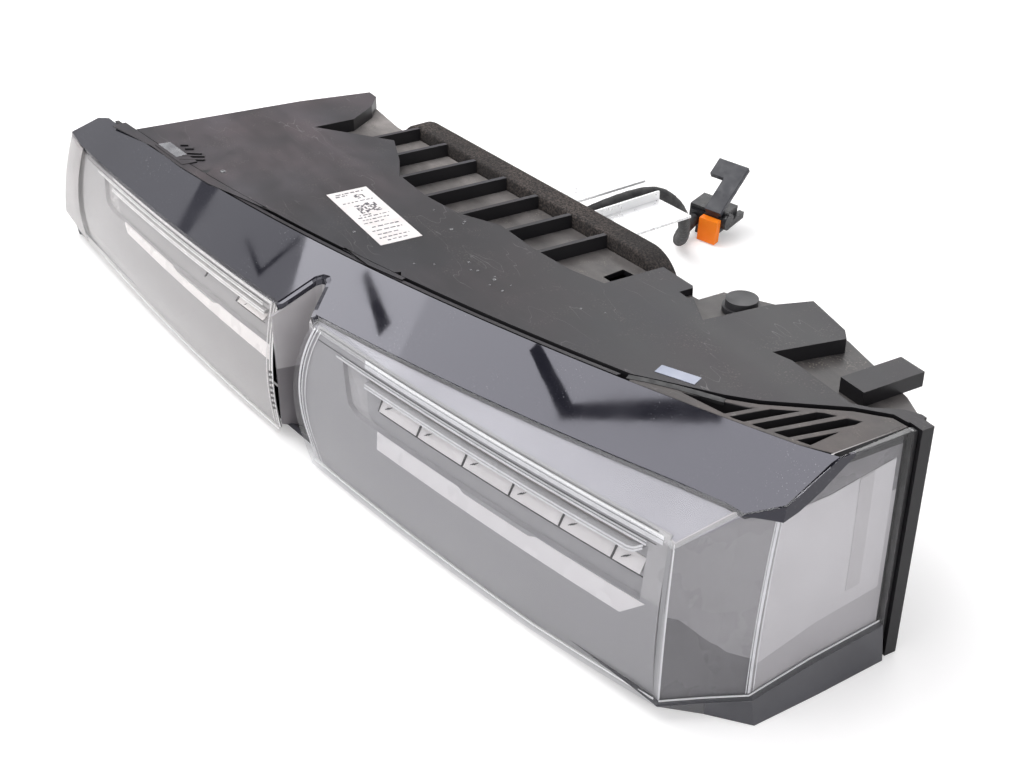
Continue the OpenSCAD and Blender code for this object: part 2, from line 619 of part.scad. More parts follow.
module rear_cover() color("#242326") {
    difference() {
        at_rear(cover_x, cover_z) {
            difference() {
                rear_sheet(clear, cover_depth) rounded(cover_l, cover_h, cover_r);
                rear_sheet(clear - 1, cover_depth - wall)
                    rounded(cover_l - 2 * wall, cover_h - 2 * wall, cover_r - wall);
                translate([driver_x, cover_depth - wall - 1, driver_z])
                    rotate([-90, 0, 0]) cylinder(d = driver_d + 2, h = 20);
            }
            // Screw posts
            for (p = screw_places) translate([p[0], clear, p[1]])
                rotate([-90, 0, 0]) cylinder(d = 3 * screw_d, h = cover_depth - wall);
        }
        at_rear(cover_x, cover_z) for (p = screw_places) translate([p[0], 0, p[1]])
            rotate([-90, 0, 0]) cylinder(d = screw_d + 2 * clear, h = 2 * cover_depth);
        at_rear(grommet_x, grommet_z) rotate([-90, 0, 0])
            cylinder(d = grommet_d + 2 * clear, h = 2 * cover_depth);
    }
}
driver_l = 74;
driver_x = driver_l / 2 + 22 - cover_l / 2;
driver_z = -4;
driver_d = 28;
module driver_module() color("#5a5c60") {
    at_rear(cover_x + driver_x, cover_z + driver_z) {
        rear_sheet(cover_depth + clear, cover_depth + 5) rounded(driver_l, 44, 5);
        translate([0, clear + 2, 0]) rotate([-90, 0, 0]) cylinder(d = driver_d, h = cover_depth);
    }
}
fin_n = 9;
module heat_sink() color("#9a9c9f") {
    at_rear(cover_x + driver_x, cover_z + driver_z) {
        rear_sheet(cover_depth + 5, cover_depth + 7) rounded(66, 38, 3);
        for (i = [0:fin_n - 1]) translate([-29 + i * 58 / (fin_n - 1) - 1, cover_depth + 6, -17])
            cube([2, 9, 34]);
    }
}
module cover_screws() color("#8b8d90") {
    at_rear(cover_x, cover_z) for (p = screw_places)
        translate([p[0], 0, p[1]]) rotate([-90, 0, 0]) {
            translate([0, 0, cover_depth + clear]) cylinder(d = 7, h = 3);
            translate([0, 0, -wall - 2]) cylinder(d = screw_d, h = cover_depth + wall + 3);
        }
}
// Bright sheet brackets that reach back from the rear cover
bracket_x = 12;
module bracket_upper() color("#d9dadc") {
    at_rear(cover_x + bracket_x, cover_z) {
        translate([-11, cover_depth + clear, 27]) cube([16, 76, sheet_t]);
        translate([-11, cover_depth + clear, 24.8]) cube([16, sheet_t, 3]);
    }
}
module bracket_lower() color("#d9dadc") {
    at_rear(cover_x + bracket_x, cover_z) {
        translate([22, cover_depth + clear, 22]) cube([30, 72, sheet_t]);
        translate([22, cover_depth + clear, 6]) cube([30, sheet_t, 17]);
        translate([22, cover_depth + 8, 22]) cube([sheet_t, 64, 7]);
    }
}
// Breather cap behind the low part of the deck
vent_at = [-130, 58];
module vent_cap() color("#1b1b1d") {
    translate([vent_at[0], vent_at[1], bay_z]) {
        cylinder(d = 20, h = 3);
        cylinder(d = 17, h = 7);
    }
}
// Studs that hold the lamp to the body and the pin that locates it
stud_places = [[2, 72], [4, 58], [4, 96]];
collar_t = 2;
module mounting_studs() color("#b4b5b6") {
    for (p = stud_places) on_wall(p[0], p[1]) rotate([-90, 0, 0]) {
        translate([0, 0, -wall - 2]) cylinder(d = stud_d, h = wall + 2 + boss_h + collar_t + stud_l);
        translate([0, 0, boss_h + clear]) cylinder(d = stud_d + 5, h = collar_t);
        translate([0, 0, -wall - clear - collar_t]) cylinder(d = stud_d + 3, h = collar_t);
    }
}
pin_wall = 7;
pin_z = 70;
module locating_pin() color("#222224") {
    on_wall(pin_wall, pin_z) rotate([-90, 0, 0]) {
        translate([0, 0, clear]) cylinder(d = pin_d + 6, h = 3);
        translate([0, 0, -wall - 2]) cylinder(d = pin_d, h = wall + 5 + pin_l);
    }
}

// The lead leaves a grommet in the rear cover square to it
grommet_x = 151;
grommet_z = loop_z + 15.7;
grommet_y = 18.7;
grommet_d = 12;
module lead_grommet() color("#141415") at_rear(grommet_x, grommet_z) rotate([-90, 0, 0]) {
    translate([0, 0, cover_depth - wall - 3])
        cylinder(d = grommet_d, h = grommet_y - cover_depth + wall + 3);
    translate([0, 0, cover_depth + clear]) cylinder(d = grommet_d + 5, h = 3.5);
}
// A point of the drawing frame in the standing frame
function to_stand(p) = [(p[0] - floor_x) * cos(rest_tilt) - p[2] * sin(rest_tilt) + stand_x,
    p[1] + stand_y, (p[0] - floor_x) * sin(rest_tilt) + p[2] * cos(rest_tilt)];
lead_from = to_stand(rear_point(grommet_x, grommet_y, grommet_z));
lead_way = [-sin(rear_head) * cos(rest_tilt), cos(rear_head), -sin(rear_head) * sin(rest_tilt)];
// Lead, in the standing frame: over the brackets, down to the floor and into the plug's front
plug_at = [-82, 236, 0.6];
plug_head = 24;
plug_way = [-sin(plug_head), cos(plug_head), 0];
plug_lift = 6;
inlet = [-9, 4, plug_lift + plug_h / 2];
lead_to = plug_at + [inlet[0] * cos(plug_head) - inlet[1] * sin(plug_head),
                     inlet[0] * sin(plug_head) + inlet[1] * cos(plug_head), inlet[2]];
lead_route = [lead_from, [-29, 110, 82], [-30, 138, 84], [-31, 156, 80], [-35, 172, 67],
              [-43, 186, 50], [-54, 197, 33], [-66, 206, 18], [-78, 213, 8], [-87, 222, 7], lead_to];
lead_sides = 10;
// Smooth curve through the route: point at share t of stretch i
function route(i) = lead_route[max(0, min(len(lead_route) - 1, i))];
function curve(i, t) = 0.5 * (2 * route(i) + (route(i + 1) - route(i - 1)) * t
    + (2 * route(i - 1) - 5 * route(i) + 4 * route(i + 1) - route(i + 2)) * t * t
    + (3 * route(i) - route(i - 1) - 3 * route(i + 1) + route(i + 2)) * t * t * t);
module lead() color("#121213") {
    n = lead_sides;
    path = concat([for (i = [0:len(lead_route) - 2]) for (t = [0, 0.5]) curve(i, t)],
                  [route(len(lead_route) - 1)]);
    last = len(path) - 1;
    way = [for (i = [0:last]) i == 0 ? lead_way : i == last ? plug_way :
        unit(path[i + 1] - path[i - 1])];
    points = [for (i = [0:last]) let (side = unit(cross(way[i], [0, 0, 1])), up = cross(side, way[i]))
        for (k = [0:n - 1]) path[i] + lead_d / 2 * (cos(k * 360 / n) * side + sin(k * 360 / n) * up)];
    faces = concat([[for (k = [0:n - 1]) k]],
        [for (i = [0:last - 1]) for (k = [0:n - 1]) let (a = i * n + k, b = i * n + (k + 1) % n)
            each [[a, a + n, b + n], [a, b + n, b]]],
        [[for (k = [n - 1:-1:0]) last * n + k]]);
    polyhedron(points, faces, convexity = 6);
}
// Plug at the end of the lead: X across it, Y along it away from the lead, Z up
module at_plug() {
    translate(plug_at) rotate(plug_head) children();
}
plug_x = 10 - plug_w;
plug_wall = 2;
mouth_l = 16;
lever_w = 12.5;
lever_t = 4;
module plug_body() color("#26272b") at_plug() difference() {
    union() {
        translate([plug_x, inlet[1], plug_lift]) cube([plug_w, plug_l, plug_h]);
        translate([plug_x - 1, inlet[1] + 2, plug_lift + 2]) cube([12, plug_l - 6, plug_h + 1]);
        // Foot and the lever's pivot
        translate([-9, inlet[1] + 2, 0]) cube([6, 8, plug_lift + 1]);
        translate([9, 10.5, plug_lift + 8]) rotate([0, 90, 0]) cylinder(d = 12, h = 5);
        // Side wing
        translate([9, 12, plug_lift + 1]) cube([4, 22, 5]);
    }
    translate([plug_x + plug_wall, inlet[1] + plug_l - mouth_l, plug_lift + plug_wall])
        cube([plug_w - 2 * plug_wall, mouth_l + 1, plug_h - 2 * plug_wall]);
}
module plug_cap() color("#5c5d66") at_plug()
    translate([10.5 - lever_w, inlet[1], plug_lift + plug_h]) {
        cube([lever_w - 2, 9, lever_t]);
        translate([0, 0, 1.4]) rotate([lever_rise, 0, 0]) {
            cube([lever_w, lever_l, lever_t]);
            translate([-11, lever_l - 14, 0]) cube([12, 14, lever_t]);
        }
    }
module plug_lock() color("#f08a1c") at_plug()
    translate([-3, inlet[1] - 6, 0]) cube([14, 6 - clear, plug_lift + plug_h - 0.5]);

// Labels
label_l = 75;
label_w = 25;
module rating_label() color("#e6e3e0") {
    translate([-349, -74.5, lamp_h]) rotate(-1) cube([label_l, label_w, 0.3]);
}
module foil_label() color("#b7b9bd") {
    translate([-471, -133, lamp_h]) rotate(8) cube([23, 7, 0.3]);
}
module code_label() color("#8d95a3") {
    translate([-91, -23, lamp_h]) rotate(26) cube([21, 7, 0.3]);
}

// Pose in which the underside lies level on the floor
module stance() {
    translate([stand_x, stand_y, 0]) rotate([0, -rest_tilt, 0]) translate([-floor_x, 0, 0])
        children();
}

stance() housing();
stance() roof_band();
stance() near_cover();
stance() far_cover();
stance() lower_trim();
stance() corner_plate();
stance() notch_liner();
stance() sealing_bead();
stance() side_seal();
stance() near_bezel();
stance() far_bezel();
stance() near_light_guide();
stance() far_light_guide();
stance() near_cell_reflector();
stance() far_cell_reflector();
stance() near_optic_bar();
stance() far_optic_bar();
stance() near_led_board();
stance() far_led_board();
stance() led_chips();
stance() near_carrier();
stance() far_carrier();
stance() side_diffuser();
stance() corner_bezel();
stance() foam_gasket();
stance() rear_cover();
stance() driver_module();
stance() heat_sink();
stance() cover_screws();
stance() bracket_upper();
stance() bracket_lower();
stance() vent_cap();
stance() mounting_studs();
stance() locating_pin();
stance() lead_grommet();
lead();
plug_body();
plug_cap();
plug_lock();
stance() rating_label();
stance() foil_label();
stance() code_label();
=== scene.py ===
"""Looks of a rear light cluster: clear covers, gloss roof, light units, tub housing, gasket and lead.

Run as a script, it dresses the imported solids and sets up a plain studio. Sizes are in millimetres in
the drawing frame, where the deck is level, and stand() turns them into the frame of the model.
"""
import math
import random

import bmesh
import bpy
from mathutils import Matrix, Vector


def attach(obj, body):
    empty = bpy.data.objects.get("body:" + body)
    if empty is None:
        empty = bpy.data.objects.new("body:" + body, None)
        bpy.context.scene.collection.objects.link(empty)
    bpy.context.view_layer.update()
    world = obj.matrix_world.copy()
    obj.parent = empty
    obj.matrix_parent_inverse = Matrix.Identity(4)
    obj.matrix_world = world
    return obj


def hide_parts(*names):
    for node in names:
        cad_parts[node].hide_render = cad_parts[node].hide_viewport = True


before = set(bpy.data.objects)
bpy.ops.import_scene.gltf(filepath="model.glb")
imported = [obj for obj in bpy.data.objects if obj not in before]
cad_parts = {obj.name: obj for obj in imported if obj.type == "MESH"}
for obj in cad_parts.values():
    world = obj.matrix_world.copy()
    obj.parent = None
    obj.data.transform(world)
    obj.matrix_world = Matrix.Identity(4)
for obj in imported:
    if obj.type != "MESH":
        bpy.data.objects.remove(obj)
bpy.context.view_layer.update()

bl_info = {
    "name": "Rear light cluster",
    "version": (1, 0, 0),
    "blender": (4, 5, 0),
    "location": "3D View > Sidebar > Light",
    "description": "Dresses the solids of a rear light cluster and lights them in a plain studio",
    "category": "Object",
}

# Shape of the lamp, as in the solids
ARC_R, ARC_LEN, ARC_HEAD, TILT = 1760.0, 560.0, 24.5, 5.0
LAMP_H, ROOF_FALL, FACE_BULGE, FOOT_LEAN, FOOT_RISE, KICK = 130.0, 0.57, 4.5, 7.0, 10.0, 20.0
ROOF_W = (58.5, 38.0, 23.0)
BLACK_W, STRIP_W, COVER_T, STEP_H = 32.0, 5.0, 3.0, 8.0
NOTCH_U, NOTCH_W, NOTCH_SWELL, NEAR_U, FAR_U = 290.0, 32.0, 9.0, 52.0, 552.0
STAND = (282.7, 32.5)
SEAM, FOOT_DROP = 0.3, 6.0
FLOOR_X = 10.0
BAY_Z = LAMP_H - STEP_H
CENTRE = (-ARC_R * math.sin(math.radians(ARC_HEAD)), ARC_R * math.cos(math.radians(ARC_HEAD)))
NEAR_EDGE, FAR_EDGE = NOTCH_U - NOTCH_W / 2, NOTCH_U + NOTCH_W / 2


def hump(s):
    """0 at both ends of the face and 1 at its middle."""
    return 4 * s * (1 - s)


def plan(u, a):
    """Point in plan at distance u along the curved line and a outwards from it."""
    h = math.radians(ARC_HEAD) - u / ARC_R
    return CENTRE[0] + (ARC_R + a) * math.sin(h), CENTRE[1] - (ARC_R + a) * math.cos(h)


def roof_z(x, y):
    away = math.hypot(x - CENTRE[0], y - CENTRE[1]) - ARC_R
    return min(LAMP_H, LAMP_H - ROOF_FALL * away)


def floor_z(x):
    return math.tan(math.radians(TILT)) * (FLOOR_X - x)


def roof_w(u):
    t = u / ARC_LEN
    near, mid, far = ROOF_W
    return near * (1 - t) * (1 - 2 * t) + mid * 4 * t * (1 - t) + far * t * (2 * t - 1)


def drop_at(u):
    """How far the covers reach below the trim's upper edge: not at all at the corner, in full from 110
    to 400 along the front, and less again towards the far end."""
    return FOOT_DROP * min(1.0, max(0.0, (u - 30) / 80)) * min(1.0, 1 - 0.6 * (u - 400) / 152)


def deeper(s, low):
    """Share s of the height, with its last tenth drawn out so that 1 becomes low."""
    return s if s <= 0.9 else 0.9 + (s - 0.9) * (low - 0.9) / 0.1


def behind(u, s, d):
    """Point of the curved front at share s of its height and depth d behind the face."""
    w = roof_w(u)
    top = roof_z(*plan(u, w))
    foot = floor_z(plan(u, w + FOOT_LEAN)[0]) + FOOT_RISE
    s = deeper(s, 1 + drop_at(u) / (top - foot))
    x, y = plan(u, w + FOOT_LEAN * s + FACE_BULGE * hump(s) - d)
    return x, y, top + (foot - top) * s


def stand(p):
    """A point of the drawing frame in the model's frame, in metres."""
    c, s = math.cos(math.radians(TILT)), math.sin(math.radians(TILT))
    x, y, z = p[0] - FLOOR_X, p[1], p[2]
    return Vector((x * c - z * s + STAND[0], y + STAND[1], x * s + z * c)) / 1000


def under_roof(x, y, d):
    return x, y, roof_z(x, y) - d


def notch_edge(s):
    """Swollen edge of the near cover at the notch."""
    return NEAR_EDGE + NOTCH_SWELL * hump(s)


def spread(a, b, n):
    return [a + (b - a) * i / n for i in range(n + 1)]


# Columns of the outside: top, its height, foot, its height, inner end of the roof strip, swell,
# share of the height where the cover ends, bow of the line from top to foot
def given(t, b, zb, f, swell, low=1.0, bow=0.0):
    return t, roof_z(*t), b, zb, f, swell, low, bow


WRAP = [given((-10, -67.5), (-8.5, -71.5), 10.5, (-10.6, -40.2), 0.6),
        given((-1, -38), (1, -51), 10.8, (-1.3, -37.4), 0.5),
        given((9, -23.5), (10, -32), 10.5, (8.2, -23.3), 0.3, 1.0, 1.4),
        given((7.5, 5), (8.5, 5), 15.5, (6.6, 5.2), 0.2),
        given((7, 47), (8, 47), 20, (4, 47), 0.0)]
TAIL_Z = LAMP_H - STEP_H - 0.5
TAIL = [((-514, -140), TAIL_Z, (-514, -140), 60, (-514, -142), 0, 1.09, 0),
        ((-534, -151), TAIL_Z, (-536, -156), 60, (-533, -154), 0, 1.09, 0),
        ((-550.6, -168.9), 117.4, (-554, -180.3), 66, (-545, -167), 0.6, 1.03, 0)]
WRAP_KICK = (11, 3, -5, -5, -3)
TAIL_KICK = (0, 0, 12)


def black_a(u):
    return min(BLACK_W, roof_w(u) - STRIP_W) if u < NOTCH_U else roof_w(u) - 1.4


def column(u):
    top, foot = plan(u, roof_w(u)), plan(u, roof_w(u) + FOOT_LEAN)
    high, low = roof_z(*top), floor_z(foot[0]) + FOOT_RISE
    return top, high, foot, low, plan(u, black_a(u)), 1.0, 1 + drop_at(u) / (high - low), 0.0


def unit(v):
    n = math.hypot(*v)
    return v[0] / n, v[1] / n


def mitres(columns):
    """Outward direction and mitre factor of each column, seen in plan."""
    mid = [((c[0][0] + c[2][0]) / 2, (c[0][1] + c[2][1]) / 2) for c in columns]
    sides = [unit((b[1] - a[1], a[0] - b[0])) for a, b in zip(mid, mid[1:])]
    found = [(*sides[0], 1.0)]
    for a, b in zip(sides, sides[1:]):
        m = unit((a[0] + b[0], a[1] + b[1]))
        found.append((*m, 1 / (m[0] * a[0] + m[1] * a[1])))
    return found + [(*sides[-1], 1.0)]


def on_column(c, m, s, d):
    """Point of column c at share s of its height and depth d, with its mitre m."""
    s = deeper(s, c[6])
    f = s + c[7] * s * (1 - s)
    k = FACE_BULGE * c[5] * hump(s) - d * m[2]
    return (c[0][0] + (c[2][0] - c[0][0]) * f + k * m[0],
            c[0][1] + (c[2][1] - c[0][1]) * f + k * m[1], c[1] + (c[3] - c[1]) * s)


def wrap_at(t, s, d):
    """Point behind the wrapped end: t runs from 0 at the front's last column to 5 at the rear edge."""
    columns = [column(NEAR_U)] + WRAP
    m = mitres([column(NEAR_U + 8)] + columns)[1:]
    i = min(int(t), len(columns) - 2)
    a, b = (on_column(columns[j], m[j], s, d) for j in (i, i + 1))
    return tuple(x + (y - x) * (t - i) for x, y in zip(a, b))


# Materials
SMOOTH = 0.000002    # dent of a nearly even surface, in metres


def tree(name):
    """The look of that name, or a new one with an empty node tree."""
    name = "look_" + name
    m = bpy.data.materials.get(name)
    if m is not None:
        return m, None
    m = bpy.data.materials.new(name)
    m.use_nodes = True
    m.node_tree.nodes.clear()
    return m, m.node_tree


def put(nt, kind, values=None, **attributes):
    """A shader node with its attributes set and its inputs set or linked."""
    n = nt.nodes.new("ShaderNode" + kind)
    for k, v in attributes.items():
        setattr(n, k, v)
    for k, v in (values or {}).items():
        if isinstance(v, bpy.types.NodeSocket):
            nt.links.new(v, n.inputs[k])
        else:
            n.inputs[k].default_value = v
    return n


def place(nt):
    """The model's own coordinates, in metres."""
    return put(nt, "TexCoord").outputs["Object"]


def grain(nt, scale, detail=3.0, stretch=(1, 1, 1), rough=0.5):
    """Noise in the model's own coordinates, per metre."""
    where = place(nt)
    if stretch != (1, 1, 1):
        where = put(nt, "Mapping", {"Vector": where, "Scale": stretch}).outputs[0]
    return put(nt, "TexNoise", {"Vector": where, "Scale": scale, "Detail": detail,
                                "Roughness": rough}).outputs["Fac"]


def ramp(nt, value, low, high, a=0.0, b=1.0):
    return put(nt, "MapRange", {"Value": value, "From Min": low, "From Max": high,
                                "To Min": a, "To Max": b}).outputs["Result"]


def blend(nt, factor, a, b):
    mix = put(nt, "Mix", {"Factor": factor}, data_type="RGBA")
    for k, v in ((6, a), (7, b)):
        if isinstance(v, bpy.types.NodeSocket):
            nt.links.new(v, mix.inputs[k])
        else:
            mix.inputs[k].default_value = (*v, 1)
    return mix.outputs[2]


def bump(nt, height, strength, distance):
    return put(nt, "Bump", {"Height": height, "Strength": strength, "Distance": distance}).outputs["Normal"]


def finish_shader(m, nt, shader):
    nt.links.new(shader.outputs[0], put(nt, "OutputMaterial").inputs["Surface"])
    return m


def plastic(m, nt, values):
    return finish_shader(m, nt, put(nt, "BsdfPrincipled", values))


def moulded(name, dark, pale, rough, patch=18, fine=900, dent=0.00004, metal=0.0, coat=0.0, spread_of=0.12):
    """Moulded or cast material with clouded colour, uneven gloss and a fine grain."""
    m, nt = tree(name)
    if nt is None:
        return m
    fleck = grain(nt, fine, 2)
    colour = blend(nt, ramp(nt, grain(nt, patch, 5), 0.35, 0.65), dark, pale)
    gloss = ramp(nt, grain(nt, patch * 3, 4), 0.3, 0.7, rough - spread_of, rough + spread_of)
    return plastic(m, nt, {"Base Color": colour, "Roughness": gloss, "Metallic": metal, "Coat Weight": coat,
                           "Coat Roughness": 0.04, "Normal": bump(nt, fleck, 0.35, dent)})


def calc(nt, operation, *values):
    return put(nt, "Math", dict(enumerate(values)), operation=operation).outputs[0]


def times(nt, a, b):
    return calc(nt, "MULTIPLY", a, b)


def axis(nt, vector, name):
    return put(nt, "SeparateXYZ", {0: vector}).outputs[name]


def level(nt, z, low, high):
    """0 to 1 from low to high over the drawing frame's plane z, all in metres."""
    c, s = math.cos(math.radians(TILT)), math.sin(math.radians(TILT))
    lies = put(nt, "VectorMath", {0: place(nt), 1: (-s, 0, c)}, operation="DOT_PRODUCT").outputs["Value"]
    z -= STAND[0] / 1000 * s
    return ramp(nt, lies, z + low, z + high)


def dusty(name, base, dust, cover, specks):
    """Black moulded plastic with mottled dust, thin scratches and grit on what faces up."""
    m, nt = tree(name)
    if nt is None:
        return m
    up = ramp(nt, axis(nt, put(nt, "NewGeometry").outputs["Normal"], "Z"), 0.6, 0.97)
    # Dirt gathers in what lies lower than the deck, and the dusty layer weakens towards the right end, which
    # comes out darker
    sunk = level(nt, LAMP_H / 1000, -0.0015, -0.004)
    along = ramp(nt, axis(nt, place(nt), "X"), -0.13, -0.02, 1.0, 0.45)
    cloud = ramp(nt, grain(nt, 7, 6, rough=0.6), 0.3, 0.72, 0.35, 1.0)
    mottle = ramp(nt, grain(nt, 75, 7, rough=0.7), 0.3, 0.72, 0.45, 1.0)
    smear = ramp(nt, grain(nt, 14, 5, (0.35, 2.2, 1), 0.6), 0.42, 0.75, 0.0, 0.55)
    lies = calc(nt, "ADD", times(nt, times(nt, cloud, mottle), up), times(nt, smear, up))
    lies = times(nt, times(nt, lies, cover), along)
    # Scratches: thin lines where a stretched noise crosses its middle
    near = calc(nt, "ABSOLUTE", calc(nt, "SUBTRACT", grain(nt, 16, 2, (1, 5, 1)), 0.5))
    some = times(nt, ramp(nt, grain(nt, 21, 2), 0.5, 0.6), up)
    mark = times(nt, ramp(nt, near, 0.0, 0.0035, 0.5, 0.0), some)
    grit = times(nt, ramp(nt, grain(nt, 1000, 2), 0.6, 0.66), ramp(nt, grain(nt, 55, 4), 0.5, 0.66))
    grit = times(nt, times(nt, grit, up), ramp(nt, sunk, 0, 1, specks * 0.3, specks))
    brown = (dust[0] * 1.25, dust[1] * 1.03, dust[2] * 0.98)
    brown = blend(nt, ramp(nt, grain(nt, 11, 4), 0.35, 0.65), dust, brown)
    brown = blend(nt, times(nt, sunk, 0.8), brown, (0.4, 0.37, 0.35))
    colour = blend(nt, calc(nt, "MINIMUM", lies, 1.0), base, brown)
    colour = blend(nt, mark, colour, (0.22, 0.21, 0.21))
    colour = blend(nt, grit, colour, (0.5, 0.44, 0.37))
    height = calc(nt, "ADD", grain(nt, 1500, 2), times(nt, grit, 3.0))
    return plastic(m, nt, {
        "Base Color": colour, "Roughness": ramp(nt, lies, 0.0, 0.9, 0.34, 0.72), "Specular IOR Level": 0.34,
        "Normal": bump(nt, height, 0.4, 0.00006)})


def clear(name, tint, rough=0.02, ior=1.47, haze=0.0, haze_colour=(0.8, 0.8, 0.8)):
    """Clear plastic skin: light goes straight through, tinted, and the gloss lies over it."""
    m, nt = tree(name)
    if nt is None:
        return m
    through = put(nt, "BsdfTransparent", {"Color": (*tint, 1)})
    dull = grain(nt, 35, 4)
    gloss = put(nt, "BsdfGlossy", {"Color": (1, 1, 1, 1), "Roughness": ramp(
        nt, dull, 0.35, 0.7, rough, rough * 2.5)})
    # Schlick's curve, the same from both sides of the skin
    away = calc(nt, "POWER", put(nt, "LayerWeight", {"Blend": 0.5}).outputs["Facing"], 5.0)
    f0 = ((ior - 1) / (ior + 1)) ** 2
    facing = calc(nt, "MULTIPLY_ADD", away, 1 - f0, f0)
    shell = put(nt, "MixShader", {"Fac": facing, 1: through.outputs[0], 2: gloss.outputs[0]})
    if haze:
        cloud = put(nt, "BsdfDiffuse", {"Color": (*haze_colour, 1)})
        shell = put(nt, "MixShader", {"Fac": ramp(nt, dull, 0.2, 0.8, haze * 0.7, haze * 1.3),
                                      1: shell.outputs[0], 2: cloud.outputs[0]})
    return finish_shader(m, nt, shell)


# Mesh pieces
def piece(name, bm, material, node=(), bevel=0.0, segments=2, angle=30.0):
    """An object from mesh code that rides on the body, dressed and with its edges rounded."""
    mesh = bpy.data.meshes.new(name)
    bmesh.ops.remove_doubles(bm, verts=bm.verts, dist=1e-6)
    bmesh.ops.recalc_face_normals(bm, faces=bm.faces)
    bm.to_mesh(mesh)
    bm.free()
    mesh.shade_smooth()
    for m in material if isinstance(material, (list, tuple)) else [material]:
        mesh.materials.append(m)
    o = bpy.data.objects.new(name, mesh)
    bpy.context.collection.objects.link(o)
    if bevel:
        round_edges(o, bevel, segments, angle)
    else:
        mesh.set_sharp_from_angle(angle=math.radians(angle))
    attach(o, "root")
    if node:
        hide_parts(*([node] if isinstance(node, str) else node))
    return o


def round_edges(o, bevel, segments, angle):
    b = o.modifiers.new("edges", "BEVEL")
    b.width, b.segments, b.limit_method = bevel / 1000, segments, "ANGLE"
    b.angle_limit, b.harden_normals = math.radians(angle), True


def quads(bm, grid, flip=False, wrap=False):
    """Faces between neighbouring lines of vertices."""
    for a, b in zip(grid, grid[1:]):
        n = len(a)
        for j in range(n if wrap else n - 1):
            k = (j + 1) % n
            if len({a[j], b[j], b[k], a[k]}) == 4:
                bm.faces.new([a[j], b[j], b[k], a[k]][::-1 if flip else 1])


def capped(bm, rings):
    """Faces round a row of rings, closed at both ends."""
    quads(bm, rings, wrap=True)
    bm.faces.new(rings[0][::-1])
    bm.faces.new(rings[-1])


def skin(bm, outer, inner):
    """Closed skin between two grids of points in the drawing frame."""
    o = [[bm.verts.new(stand(p)) for p in line] for line in outer]
    q = [[bm.verts.new(stand(p)) for p in line] for line in inner]
    quads(bm, o)
    quads(bm, q, flip=True)
    for a, b, c, d in zip(o, o[1:], q, q[1:]):
        bm.faces.new((a[0], c[0], d[0], b[0]))
        bm.faces.new((a[-1], b[-1], d[-1], c[-1]))
    for a, c in ((o[0], q[0]), (o[-1], q[-1])):
        for j in range(len(a) - 1):
            bm.faces.new((a[j], a[j + 1], c[j + 1], c[j]))
    return bm


def layer(rows, at, d, back, bm=None):
    """Closed skin between the points at(*p, d) and at(*p, back) of each row."""
    return skin(bmesh.new() if bm is None else bm,
                [[at(*p, d) for p in row] for row in rows], [[at(*p, back) for p in row] for row in rows])


def flat(x, y, z):
    return x, y, z


def relief(us, ss, depth, back, region, at):
    """Closed skin whose face lies at depth(u, s) behind the front; region(u, s) picks its material."""
    bm = skin(bmesh.new(), [[at(u, s, depth(u, s)) for s in ss] for u in us],
              [[at(u, s, depth(u, s) + back) for s in ss] for u in us])
    bm.faces.ensure_lookup_table()
    middles = [((a + b) / 2, (c + d) / 2) for a, b in zip(us, us[1:]) for c, d in zip(ss, ss[1:])]
    for k, middle in enumerate(middles):
        bm.faces[k].material_index = region(*middle)
    return bm


def between(x, knots):
    """Value at x of the broken line through the knots (x, y), which run downwards in x."""
    for (a, p), (b, q) in zip(knots, knots[1:]):
        if x >= b:
            return p + (q - p) * (a - x) / (a - b)
    return knots[-1][1]


def edges(points, gap):
    """The points with each doubled, gap apart, so that steps between them come out sharp."""
    return sorted(x for p in points for x in (p - gap / 2, p + gap / 2))


def ribbon(bm, line, width, thick=0.25, at=behind):
    """Narrow raised strip along points (u, s, d) of the front."""
    pts = [Vector(at(*p)) for p in line]
    rings = []
    for i, p in enumerate(pts):
        way = (pts[min(i + 1, len(pts) - 1)] - pts[max(i - 1, 0)]).normalized()
        u, s, d = line[i]
        out = (Vector(at(u, s, d - 1)) - p).normalized()
        side = way.cross(out).normalized() * width / 2
        rings.append([bm.verts.new(stand(q)) for q in (p - side, p + side, p + side - out * thick,
                                                       p - side - out * thick)])
    capped(bm, rings)


def prism(bm, outline, z0, z1):
    """Upright block on an outline in plan, in the drawing frame."""
    low, top = ([bm.verts.new(stand((x, y, z))) for x, y in outline] for z in (z0, z1))
    capped(bm, [low, top])
    return bm


def tube(path, radii, sides):
    """Tube along points of the model's frame, in metres."""
    bm, up, rings = bmesh.new(), Vector((0, 0, 1)), []
    for i, (p, r) in enumerate(zip(path, radii)):
        way = (path[min(i + 1, len(path) - 1)] - path[max(i - 1, 0)]).normalized()
        side = way.cross(up).normalized() if abs(way.dot(up)) < 0.98 else Vector((1, 0, 0))
        over = side.cross(way)
        rings.append([bm.verts.new(p + (side * math.cos(k) + over * math.sin(k)) * r)
                      for k in [2 * math.pi * j / sides for j in range(sides)]])
    capped(bm, rings)
    return bm


# Sizes and colours a user would change
def tint(name, description, default):
    return bpy.props.FloatVectorProperty(name=name, description=description, default=default,
                                         subtype="COLOR", size=3, min=0, max=1)


class LightColours(bpy.types.PropertyGroup):
    roof: tint("Roof", "Colour of the gloss roof", (0.011, 0.011, 0.016))
    housing: tint("Housing", "Colour of the tub housing", (0.011, 0.0105, 0.012))
    bezel: tint("Bezel", "Colour of the bezels behind the covers", (0.4, 0.395, 0.4))
    near_tint: tint("Near cover", "Tint of each skin of the near cover", (0.9, 0.9, 0.91))
    far_tint: tint("Far cover", "Tint of each skin of the far cover", (0.96, 0.955, 0.955))


